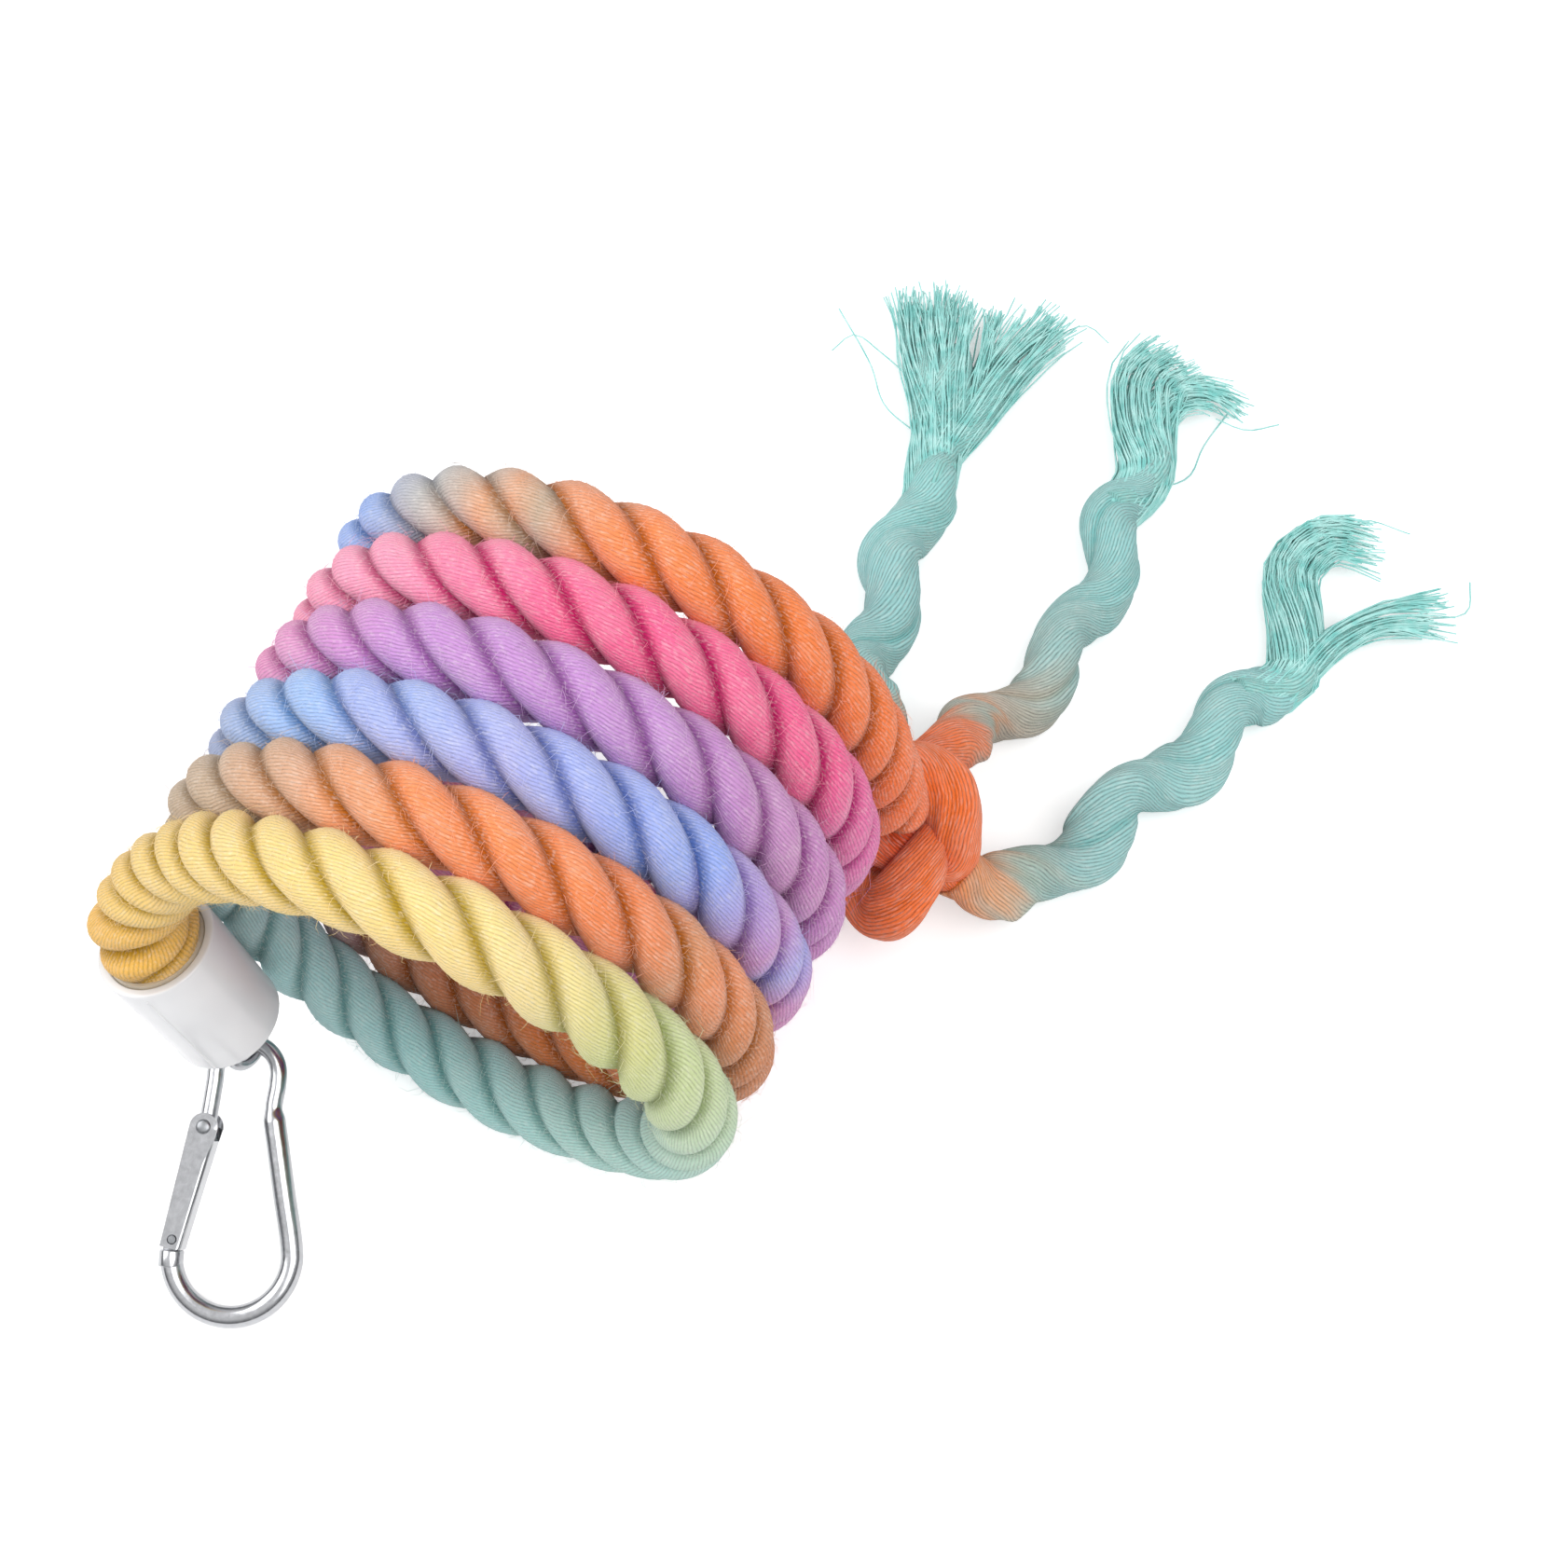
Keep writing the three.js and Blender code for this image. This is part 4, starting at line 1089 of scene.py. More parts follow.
def push(bm, ring, way):
    """Draws the ring out along a way, and returns the new ring."""
    edges = [item for item in ring if isinstance(item, bmesh.types.BMEdge)]
    made = bmesh.ops.extrude_edge_only(bm, edges=edges)["geom"]
    verts = [item for item in made if isinstance(item, bmesh.types.BMVert)]
    bmesh.ops.translate(bm, vec=way, verts=verts)
    chosen = set(verts)
    return verts + [e for e in made if isinstance(e, bmesh.types.BMEdge) and set(e.verts) <= chosen]


def wire_along(line, radius, segments, sizes=None):
    """A round wire along a line, ring by ring. Sizes are shares of its radius at each place."""
    bm = bmesh.new()
    sizes = np.ones(len(line)) if sizes is None else sizes
    directions = unit(np.gradient(np.array(line, float), axis=0))
    ring = start_ring(bm, Vector(line[0]), Vector(directions[0]), radius * sizes[0], segments)
    for i in range(1, len(line)):
        ring = push(bm, ring, Vector(line[i]) - Vector(line[i - 1]))
        verts = [item for item in ring if isinstance(item, bmesh.types.BMVert)]
        turn = Vector(directions[i - 1]).rotation_difference(Vector(directions[i])).to_matrix()
        bmesh.ops.rotate(bm, cent=Vector(line[i]), matrix=turn, verts=verts)
        growth = sizes[i] / sizes[i - 1]
        if growth != 1:
            around = Matrix.Translation(-Vector(line[i]))
            bmesh.ops.scale(bm, vec=(growth, growth, growth), space=around, verts=verts)
    bmesh.ops.holes_fill(bm, edges=[edge for edge in bm.edges if edge.is_boundary], sides=0)
    bmesh.ops.recalc_face_normals(bm, faces=bm.faces)
    return bm


def flat_arc(centre, radius, start, end, steps):
    angles = np.radians(np.linspace(start, end, steps))
    return [(centre[0] + radius * math.cos(a), centre[1] + radius * math.sin(a), 0) for a in angles]


bow = flat_arc((0, -BOW_DROP), BOW_RADIUS, 0, -180, 44)
print("the bow: %.0f mm of wire" % lengths_along(np.array(bow))[-1])

# %% Bend the wire
PAST_HINGE = 2.2
SHORT_LEG = (-7.35, -14.5, 0)
LONG_LEG = [
    (6.8, -9.4, 0), (6.5, -12.0, 0), (6.4, -13.8, 0), (6.7, -16.0, 0),
    (8.0, -22.0, 0), (10.2, -32.0, 0), (12.4, -41.5, 0),
]
HOOK_STEP = 0.7
WIRE_SEGMENTS = 24
hook_line = [
    tuple(HINGE + gate_down * PAST_HINGE),
    tuple(HINGE),
    SHORT_LEG,
    *flat_arc((0, -TOP_RADIUS), TOP_RADIUS, 186, 0, 28),
    *LONG_LEG,
    *bow,
]
hook_line = evenly(through(hook_line, 0.5), HOOK_STEP)
passed_shoulder = np.cumsum((hook_line[:, 1] < SHOULDER_HEIGHT) & (hook_line[:, 0] > 0)) > 0
thickened = np.clip(np.cumsum(passed_shoulder) / 3, 0, 1)
wire_sizes = THIN_SHARE + (THICK_SHARE - THIN_SHARE) * thickened
bm = wire_along(hook_line, WIRE_RADIUS, WIRE_SEGMENTS, wire_sizes)
to_metres(bm)
hook = finished("hook_wire", bm, hook_frame, 50)
print("hook wire: %.0f mm" % lengths_along(hook_line)[-1])

# %% The collar at the nose
COLLAR_RADIUS = 2.62
COLLAR_LENGTH = 3.6
COLLAR_BACK = 1.4
SMALL_EDGE = 0.3


def turned_rod(name, radius, length, middle, place):
    """A short round bar along the hook's length with bevelled ends, in millimetres."""
    bm = bmesh.new()
    turn = Vector((0, 1, 0)).to_track_quat("Z", "Y").to_matrix().to_4x4()
    bmesh.ops.create_cone(
        bm,
        cap_ends=True,
        radius1=radius,
        radius2=radius,
        depth=length,
        segments=32,
        matrix=Matrix.Translation(Vector(middle)) @ turn,
    )
    rims = [e for e in bm.edges if len(e.link_faces) == 2 and e.calc_face_angle() > 1]
    bmesh.ops.bevel(
        bm, geom=rims, offset=SMALL_EDGE, segments=3, profile=0.5, affect="EDGES", material=-1
    )
    to_metres(bm)
    return finished(name, bm, place, 35)


collar_middle = NOSE + Vector((0, -COLLAR_BACK, 0))
collar = turned_rod("hook_collar", COLLAR_RADIUS, COLLAR_LENGTH, collar_middle, hook_frame)
print("collar:", len(collar.data.polygons), "faces")


# %% The tongue, and one whole hook
TONGUE_SIZE = (3.0, 5.0, 2.0)
TONGUE_BACK = 2.65
TONGUE_ASIDE = -0.4


def block(name, sizes, middle, turn, place):
    """A small block with bevelled edges, turned in the hook's plane."""
    bm = bmesh.new()
    bmesh.ops.create_cube(bm, size=1)
    bmesh.ops.scale(bm, vec=sizes, verts=bm.verts)
    bmesh.ops.bevel(
        bm, geom=bm.edges[:], offset=SMALL_EDGE, segments=3, profile=0.5, affect="EDGES", material=-1
    )
    where = Matrix.Translation(Vector(middle)) @ Matrix.Rotation(turn, 4, "Z")
    bmesh.ops.transform(bm, matrix=where, verts=bm.verts)
    to_metres(bm)
    return finished(name, bm, place, 35)


tongue_reach = (HINGE - NOSE).length - TONGUE_BACK
tongue_middle = HINGE + gate_down * tongue_reach + Vector((TONGUE_ASIDE, 0, 0))
tongue = block("hook_tongue", TONGUE_SIZE, tongue_middle, gate_turn, hook_frame)
joined([hook, collar, tongue])
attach(hook, "hook")
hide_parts("hook_body")
print("hook:", len(hook.data.polygons), "faces")

# %% [markdown]
# ## The eye
# The eye is a small ring of bent wire with a straight shank that goes through the cap's end wall. It is
# made as the hook's wire was: a few places, a smooth line through them, and a ring pushed along it.

# %% Bend the eye
EYE_MIDDLE = 42.2
EYE_RING_RADIUS = 5.95
EYE_WIRE_RADIUS = 1.25
EYE_TURN = math.radians(-4)
EYE_SEGMENTS = 20
SHANK = [(0, 28.0, 0), (0, 30.0, 0)]
SHANK_ENDS = 0.6
eye_frame = cap_frame @ Matrix.Rotation(EYE_TURN, 4, "Y")
eye_line = [*SHANK, (0, EYE_MIDDLE - EYE_RING_RADIUS - SHANK_ENDS, 0)]
eye_line += flat_arc((0, EYE_MIDDLE), EYE_RING_RADIUS, -80, 265, 40)
bm = wire_along(evenly(through(eye_line, 0.4), 0.5), EYE_WIRE_RADIUS, EYE_SEGMENTS)
to_metres(bm)
eye = finished("eye_wire", bm, eye_frame, 50)
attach(eye, "rope")
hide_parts("eye_bolt")
print("eye:", len(eye.data.polygons), "faces")

# %% [markdown]
# ## The gate
# The gate is sheet steel folded into a channel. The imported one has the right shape, so its mesh is
# copied and its loose triangles are joined. The two folds along its closed side get the wide round that
# a press brake leaves, outside and inside, and all other edges get a fine one. The plates stay flat.

# %% Round the gate's edges
LONG_EDGE = 9
SMALL_FACE = 12
FOLD_ROUND = 2.2
SHEET = 0.8
OUTSIDE_WITHIN = 0.2
INSIDE_WITHIN = 1.4
FINE_ROUND = 0.2
SHARP_ANGLE = math.radians(50)


def round_off(bm, edges, size, segments):
    bmesh.ops.bevel(
        bm,
        geom=edges,
        offset=size * MM,
        segments=segments,
        profile=0.5,
        affect="EDGES",
        material=-1,
        clamp_overlap=True,
    )


def rounded_gate():
    """The gate with wide round folds along its closed side and fine rounds on its other edges."""
    bm = bmesh.new()
    bm.from_mesh(bpy.data.objects["gate"].data)
    bmesh.ops.remove_doubles(bm, verts=bm.verts, dist=2e-6)
    bmesh.ops.dissolve_limit(bm, angle_limit=math.radians(1), verts=bm.verts, edges=bm.edges)
    aside = Vector((math.cos(gate_turn), math.sin(gate_turn), 0))
    inwards = (hook_frame.to_3x3() @ aside).normalized()
    long_edges = [e for e in bm.edges if e.calc_length() > LONG_EDGE * MM and e.calc_face_angle(0) > 1]
    places = [(e.verts[0].co + e.verts[1].co).dot(inwards) / 2 for e in long_edges]
    depths = [max(places) - place for place in places]
    outer = [e for e, depth in zip(long_edges, depths) if depth < OUTSIDE_WITHIN * MM]
    inner = [
        e for e, depth in zip(long_edges, depths) if OUTSIDE_WITHIN * MM < depth < INSIDE_WITHIN * MM
    ]
    round_off(bm, outer, FOLD_ROUND, 7)
    round_off(bm, inner, FOLD_ROUND - SHEET, 7)
    print("gate:", len(outer), "outer and", len(inner), "inner fold edges")
    sharp = [e for e in bm.edges if len(e.link_faces) == 2 and e.calc_face_angle() > SHARP_ANGLE]
    round_off(bm, sharp, FINE_ROUND, 2)
    channel = finished("gate_channel", bm, Matrix.Identity(4), 35)
    for face in channel.data.polygons:
        face.use_smooth = face.area < SMALL_FACE * MM**2
    return channel


gate = rounded_gate()
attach(gate, "gate")
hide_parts("gate")

# %% [markdown]
# ## The rivet
# The gate turns on a rivet with two low heads. It is one outline, half of which is typed and the other
# half mirrored, spun once round the rivet's own axis.

# %% Turn the rivet
RIVET_RADIUS = 1.1
HEAD_RADIUS = 1.6
RIVET_HALF_LENGTH = 3.25
HEAD_OUTLINE = [(0, 0.34), (0.6, 0.27), (0.9, 0.1), (1, -0.12)]
UNDER_HEAD = -0.14
RIVET_WELD = 1e-4


def rivet_with_heads(name, place):
    """The head's outline is in shares of its radius, and in millimetres past the rivet's length."""
    bm = bmesh.new()
    lower = [(HEAD_RADIUS * share, -RIVET_HALF_LENGTH - rise) for share, rise in HEAD_OUTLINE]
    lower.append((RIVET_RADIUS, -RIVET_HALF_LENGTH - UNDER_HEAD))
    outline = lower + [(radius, -height) for radius, height in reversed(lower)]
    verts = [bm.verts.new((radius, 0, height)) for radius, height in outline]
    edges = [bm.edges.new(pair) for pair in zip(verts, verts[1:])]
    bmesh.ops.spin(
        bm,
        geom=verts + edges,
        cent=(0, 0, 0),
        axis=(0, 0, 1),
        angle=2 * math.pi,
        steps=32,
        use_merge=True,
    )
    bmesh.ops.remove_doubles(bm, verts=bm.verts, dist=RIVET_WELD)
    bmesh.ops.recalc_face_normals(bm, faces=bm.faces)
    bmesh.ops.translate(bm, vec=HINGE, verts=bm.verts)
    to_metres(bm)
    return finished(name, bm, place, 50)


rivet = rivet_with_heads("rivet", hook_frame)
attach(rivet, "gate")
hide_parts("gate_rivet")
print("rivet:", len(rivet.data.polygons), "faces")

# %% [markdown]
# ## Colours and nodes
# Colours are written as hex values, the way a designer reads them off a colour card, and one function
# turns them into the linear numbers that light is reckoned in. One helper adds a node with its settings
# and links, so that every material below reads as a list of what it is made of.

# %% Colour and node helpers
def linear(hex_code):
    values = [int(hex_code[i : i + 2], 16) / 255 for i in (1, 3, 5)]
    return [v / 12.92 if v <= 0.04045 else ((v + 0.055) / 1.055) ** 2.4 for v in values]


def rgba(hex_code):
    return (*linear(hex_code), 1)


def add(material, kind, inputs=None, **settings):
    """Adds a node. An input is a value, or another node's socket."""
    tree = material.node_tree
    node = tree.nodes.new("ShaderNode" + kind)
    for name, value in settings.items():
        setattr(node, name, value)
    for name, value in (inputs or {}).items():
        if isinstance(value, bpy.types.NodeSocket):
            tree.links.new(value, node.inputs[name])
        else:
            node.inputs[name].default_value = value
    return node


def new_material(name):
    material = bpy.data.materials.new(name)
    material.use_nodes = True
    material.node_tree.nodes.clear()
    return material


def dress(piece, material):
    piece.data.materials.clear()
    piece.data.materials.append(material)


print("a mid grey #808080 is %.3f of white in light" % linear("#808080")[0])

# %% [markdown]
# ## The dye, with some painted light
# The rope was dyed by dipping and dripping, so its colour changes slowly along its length and never
# stops at a sharp line. The stops below give a colour at an angle round the coil; from 210 to 345
# degrees, on the shaded back of the first turn, they are lightened as painted light. Each strand takes
# the dye a little earlier or later than its neighbours, which breaks up the bands as on the real rope.

# %% Dye stops along the rope, with painted light on the first turn's shaded back
# Painted light: from 210 to 345 degrees the first turn's back lies in shade, and these stops are
# lightened there.
DYE_AND_PAINTED_LIGHT_STOPS = [
    (-60, "#EBA030"), (-8, "#EDB142"), (32, "#F5D386"), (98, "#FADB90"), (116, "#F6DC96"),
    (142, "#D2D894"), (166, "#C8DAAE"), (186, "#BCD8C2"), (210, "#B0D6CC"), (285, "#A6D6D5"),
    (345, "#AACFD0"),
    (368, "#BCAB95"), (412, "#CBAE93"), (440, "#F29C6A"), (458, "#F9925C"), (486, "#F38C5A"),
    (500, "#DE9A72"), (512, "#EE9260"), (530, "#D08352"), (560, "#C98058"), (605, "#E38448"),
    (665, "#CE8A68"), (700, "#A3AAC8"), (742, "#A2AFD0"), (776, "#A2C2F4"), (808, "#AFB4EC"),
    (852, "#9DB2F2"), (880, "#C994CC"), (893, "#A9A6E6"), (905, "#CE90C6"), (1000, "#E790B5"),
    (1092, "#EC93BA"), (1150, "#CB95D4"), (1190, "#C793D0"), (1246, "#CC8CC0"), (1270, "#CB8AC8"),
    (1330, "#E68CB0"), (1486, "#FCA4C0"), (1530, "#FB7099"), (1590, "#F36496"), (1635, "#DA80B8"),
    (1680, "#CF86BC"), (1740, "#8CA8E4"), (1830, "#98B4EE"), (1855, "#BDBAB8"), (1863, "#CBB4A4"),
    (1869, "#E2A57E"), (1876, "#C4AC94"), (1884, "#E89F78"), (1893, "#FA9058"), (1935, "#F8864A"),
    (2000, "#F4743A"),
]
stop_angles = np.array([angle for angle, code in DYE_AND_PAINTED_LIGHT_STOPS], float)
stop_colours = np.array([linear(code) for angle, code in DYE_AND_PAINTED_LIGHT_STOPS])
print("dye:", len(DYE_AND_PAINTED_LIGHT_STOPS), "stops")

# %% Dye the rope, with the stops' painted light
DYE_SLOWER = 0.45
DYE_WANDER = 7
DYE_LATE = np.array([-3.0, 0.0, 3.0])
DYE_SEED = 11
degree_length = math.hypot(2 * math.pi * COIL_RADIUS, COIL_PITCH) / 360
from_lead_in = np.linalg.norm(rope_line - coil_point(LEAD_IN_ANGLE), axis=1)
lead_in_length = rope_route["length"][np.argmin(from_lead_in)]


def coil_angle_at(along):
    return LEAD_IN_ANGLE + (along - lead_in_length) / degree_length


def dye_and_painted_light_at(straight):
    """The colour at straight places: the dye, with the stops' painted light. Each strand takes it a
    little earlier or later.
    """
    strand = strand_of(straight)
    late = slow_waves(straight[:, 0] * DYE_SLOWER, strand, DYE_SEED) * DYE_WANDER + DYE_LATE[strand]
    angle = coil_angle_at(settle(straight)[:, 0]) + late
    return np.column_stack([np.interp(angle, stop_angles, stop_colours[:, i]) for i in range(3)])


def paint(piece, name, colours):
    layer = piece.data.color_attributes.new(name, "FLOAT_COLOR", "POINT")
    flat = np.column_stack([colours, np.ones(len(colours))]).astype(np.float32)
    layer.data.foreach_set("color", flat.ravel())


rope_dye_and_painted_light = dye_and_painted_light_at(rope_straight)
paint(rope, "dye", rope_dye_and_painted_light)
print("the rope's mean colour, linear:", rope_dye_and_painted_light.mean(axis=0).round(3).tolist())

# %% [markdown]
# ## Dyed cotton
# Cotton yarn is spun from short hairs, so it has no gloss, a soft bright edge and fine lines of painted
# shade where the yarns lie side by side, with painted light on their tops. The yarns of a laid rope run
# nearly along the rope, whatever way its strands turn, so their lines are drawn in the straight rope's
# own places. Real yarns are about 0.6 mm apart.
# Deep in the grooves the colour is painted darker and more saturated: painted shade, with the colour
# that light takes on as it goes from cotton to cotton there. The same recipe is used twice: for the laid
# rope, and for the loose strands, the knot and the soft middles of the frayed ends.

# %% Lines of yarn
YARN_WANDER_SIZE = 9.091
YARN_WANDER = 9
YARN_ROUNDING = 0.6


def fac(node):
    return node.outputs["Fac"]


def grains(size):
    """The noise scale that gives grains of this size in millimetres."""
    return 1 / (size * MM)


def yarn_lines(material, straight, parts, yarns_round):
    """A rounded ridge for each yarn, which runs along the rope and wanders a little round it."""
    slow = {"Vector": straight, "Scale": grains(YARN_WANDER_SIZE), "Detail": 2}
    wander = add(material, "TexNoise", slow)
    moved = add(material, "Math", {0: fac(wander), 1: YARN_WANDER}, operation="MULTIPLY")
    around = add(material, "Math", {0: parts["Z"], 1: parts["Y"]}, operation="ARCTAN2")
    counted = {0: around.outputs["Value"], 1: yarns_round / 2, 2: moved.outputs["Value"]}
    place = add(material, "Math", counted, operation="MULTIPLY_ADD")
    waves = add(material, "Math", {0: place.outputs["Value"]}, operation="SINE")
    humps = add(material, "Math", {0: waves.outputs["Value"]}, operation="ABSOLUTE")
    ridges = add(material, "Math", {0: humps.outputs["Value"], 1: YARN_ROUNDING}, operation="POWER")
    return ridges.outputs["Value"]


print("a grain of 0.5 mm asks for a scale of", grains(0.5))

# %% Painted shade in the grooves, and colour on the crowns
BLOTCH_SIZE = 10.526
FADED_SHARE = 0.12
FIBRE_SIZE = 0.4167
FLECK_SHARE = 0.22
GROOVE_SHADE_SATURATION = 1.35


def groove_to_crown(material, parts, groove_range):
    """0 at the bottom of a groove and 1 on a crown, from how far a place is from the rope's middle."""
    low, high = groove_range
    flat = add(material, "CombineXYZ", {"Y": parts["Y"], "Z": parts["Z"]})
    depth = add(material, "VectorMath", {0: flat.outputs["Vector"]}, operation="LENGTH")
    reach = {"Value": depth.outputs["Value"], "From Min": low * MM, "From Max": high * MM}
    return add(material, "MapRange", reach, interpolation_type="SMOOTHSTEP").outputs["Result"]


def cotton_colour(material, straight, crown, groove_shade_value):
    """The dye, faded in blotches on the crowns, darker and more saturated in the grooves as painted
    shade, with pale flecks.
    """
    dye = add(material, "Attribute", attribute_name="dye").outputs["Color"]
    blotch = add(
        material,
        "TexNoise",
        {"Vector": straight, "Scale": grains(BLOTCH_SIZE), "Detail": 3, "Roughness": 0.6},
    )
    worn = {"Value": fac(blotch), "From Min": 0.45, "From Max": 0.75, "To Max": FADED_SHARE}
    pale = add(material, "MapRange", worn).outputs["Result"]
    faded = add(material, "Mix", {"Factor": pale, 6: dye, 7: rgba("#F5ECE2")}, data_type="RGBA")
    # Painted shade: in the grooves the dye turns darker and more saturated, and on the crowns it stays
    # as dyed.
    groove_shade_settings = {"Color": dye, "Saturation": GROOVE_SHADE_SATURATION, "Value": groove_shade_value}
    groove_shaded_colour = add(material, "HueSaturation", groove_shade_settings).outputs["Color"]
    both = {"Factor": crown, 6: groove_shaded_colour, 7: faded.outputs[2]}
    shaded = add(material, "Mix", both, data_type="RGBA").outputs[2]
    drawn_out = add(material, "Mapping", {"Vector": straight, "Scale": (0.25, 1, 1)})
    fibres = add(
        material,
        "TexNoise",
        {"Vector": drawn_out.outputs["Vector"], "Scale": grains(FIBRE_SIZE), "Detail": 2},
    )
    lit = {"Value": fac(fibres), "From Min": 0.5, "From Max": 0.72, "To Max": FLECK_SHARE}
    fleck = add(material, "MapRange", lit).outputs["Result"]
    flecked = {"Factor": fleck, 6: shaded, 7: rgba("#FFFAF2")}
    return add(material, "Mix", flecked, data_type="RGBA").outputs[2]


print("a groove's colour is", GROOVE_SHADE_SATURATION, "times as strong as a crown's")

# %% Make cotton
HAIR_SIZE = 0.4545
UNEVEN_SIZE = 1.111
RIDGE_MIDDLE = 0.85
HAIR_SHARE = 0.3


def make_cotton(name, groove_range, groove_shade_value, yarns_round, yarn_height, line_shade):
    """The groove runs from its lowest to its highest distance from the middle, in millimetres."""
    material = new_material(name)
    straight = add(material, "Attribute", attribute_name="straight").outputs["Vector"]
    parts = add(material, "SeparateXYZ", {"Vector": straight}).outputs
    yarns = yarn_lines(material, straight, parts, yarns_round)
    crown = groove_to_crown(material, parts, groove_range)
    colour = cotton_colour(material, straight, crown, groove_shade_value)
    # Painted shade between the yarns and painted light on their tops: the colour is scaled down between
    # the ridges and a little up on them, by an amount that varies from place to place.
    uneven = add(material, "TexNoise", {"Vector": straight, "Scale": grains(UNEVEN_SIZE), "Detail": 1})
    shades = {"From Min": 0.3, "From Max": 0.7, "To Min": line_shade * 0.4, "To Max": line_shade}
    yarn_shade_depth = add(material, "MapRange", {"Value": fac(uneven), **shades}).outputs["Result"]
    between = add(material, "Math", {0: yarns, 1: RIDGE_MIDDLE}, operation="SUBTRACT")
    gain = {0: between.outputs["Value"], 1: yarn_shade_depth, 2: 1.0}
    light = add(material, "Math", gain, operation="MULTIPLY_ADD").outputs["Value"]
    yarn_lit_and_shaded = add(material, "VectorMath", {0: colour, "Scale": light}, operation="SCALE")
    hairs = add(
        material,
        "TexNoise",
        {"Vector": straight, "Scale": grains(HAIR_SIZE), "Detail": 3, "Roughness": 0.7},
    )
    height = add(material, "Math", {0: yarns, 1: HAIR_SHARE, 2: fac(hairs)}, operation="MULTIPLY_ADD")
    raised = {"Height": height.outputs["Value"], "Distance": yarn_height * MM, "Strength": 1.0}
    bump = add(material, "Bump", raised)
    shader = add(
        material,
        "BsdfPrincipled",
        {
            "Base Color": yarn_lit_and_shaded.outputs["Vector"],
            "Roughness": 0.9,
            "Specular IOR Level": 0.25,
            "Sheen Weight": 0.2,
            "Sheen Roughness": 0.45,
            "Normal": bump.outputs["Normal"],
        },
    )
    add(material, "OutputMaterial", {"Surface": shader.outputs["BSDF"]})
    print(name, "has", len(material.node_tree.nodes), "nodes")
    return material


ROPE_YARNS = 72
# Painted shade at half brightness in the rope's grooves, and of 0.5 in its yarn lines.
dyed_cotton = make_cotton("dyed three-strand cotton", (6.3, 8.1), 0.5, ROPE_YARNS, 0.36, 0.5)
dress(rope, dyed_cotton)

# %% [markdown]
# ## Lint and loose cotton
# A hair takes the dye of the rope under it, and is a little paler because light goes through it. The
# knot and the strands have fewer and coarser yarns than the rope, and each strand's colour goes from the
# knot's orange to teal in a streaky border. Deep in the knot the orange is redder and darker: partly the
# dye, partly painted shade.

# %% The lint's colour and material
LINT_PALER = 0.24
for hairs, straight in zip(lint, lint_straight):
    paint(hairs, "dye", blended(dye_and_painted_light_at(straight), np.array(linear("#FBF4EA")), LINT_PALER))
lint_material = new_material("cotton lint")
lint_dye = add(lint_material, "Attribute", attribute_name="dye").outputs["Color"]
lint_finish = {"Base Color": lint_dye, "Roughness": 0.95, "Specular IOR Level": 0.1}
lint_shader = add(lint_material, "BsdfPrincipled", lint_finish)
add(lint_material, "OutputMaterial", {"Surface": lint_shader.outputs["BSDF"]})
for hairs in lint:
    dress(hairs, lint_material)
print("lint:", len(lint), "pieces")

# %% The strands' teal
STRAND_YARNS = 44
# Painted shade at 0.8 brightness in the strands' grooves, and of 0.85 in their yarn lines.
loose_cotton = make_cotton("loose cotton yarn", (4.9, 5.7), 0.8, STRAND_YARNS, 0.5, 0.85)

TEAL_STOPS = {
    "a": [(0, "#E8804A"), (14, "#C2B8A4"), (26, "#9FCFCB"), (60, "#9BD0CF"), (110, "#99D6D2")],
    "b": [(0, "#F0733F"), (13, "#F0824C"), (20, "#C8B09A"), (27, "#B5BDB0"), (31, "#D9A27C"),
          (36, "#C3B4A2"), (48, "#B9BCAF"), (60, "#A3C8C4"), (90, "#98CFCD"), (150, "#99D6D2")],
    "c": [(0, "#F09A62"), (9, "#E0B08A"), (18, "#B5C6B8"), (34, "#9ECDCB"), (110, "#9AD4D2")],
}
STREAKS = ((2.6, 3, 1), (1.8, 7, 0))


def kept_places(piece):
    """The straight places that a piece remembers, in millimetres."""
    kept = np.zeros(3 * len(piece.data.vertices), np.float32)
    piece.data.attributes["straight"].data.foreach_get("vector", kept)
    return kept.reshape(-1, 3) / MM


for letter, strand in strands.items():
    kept = kept_places(strand)
    turn = np.arctan2(kept[:, 2], kept[:, 1])
    along = kept[:, 0] + sum(reach * np.sin(count * turn + phase) for reach, count, phase in STREAKS)
    stops = [place for place, code in TEAL_STOPS[letter]]
    codes = np.array([linear(code) for place, code in TEAL_STOPS[letter]])
    paint(strand, "dye", np.column_stack([np.interp(along, stops, codes[:, i]) for i in range(3)]))
    dress(strand, loose_cotton)
for body in fray_bodies.values():
    paint(body, "dye", np.tile(linear("#92D3CD"), (len(body.data.vertices), 1)))
    dress(body, loose_cotton)
print("teal on", len(strands), "strands and", len(fray_bodies), "frayed ends")

# %% The knot's orange, with painted shade deep inside
KNOT_SHADED_CORE = 6
KNOT_SHADE_FADE = 7
from_middle = np.linalg.norm(places_of(knot) / MM + PART_ORIGIN - KNOT_MIDDLE, axis=1)
outside = np.clip((from_middle - KNOT_SHADED_CORE) / KNOT_SHADE_FADE, 0, 1)[:, None]
# Painted shade, partly the dye's deeper red: the orange darkens to red towards the knot's middle.
paint(knot, "dye", blended(np.array(linear("#D23E16")), np.array(linear("#FB7A3C")), outside))
dress(knot, loose_cotton)
print("knot: from %.0f to %.0f mm from its middle" % (from_middle.min(), from_middle.max()))

# %% [markdown]
# ## Yarn of the frayed ends
# A single yarn is too thin to show its twist, so it gets a teal that changes softly from yarn to yarn
# and along each yarn, every four millimetres or so, and the same dull surface as the strands.

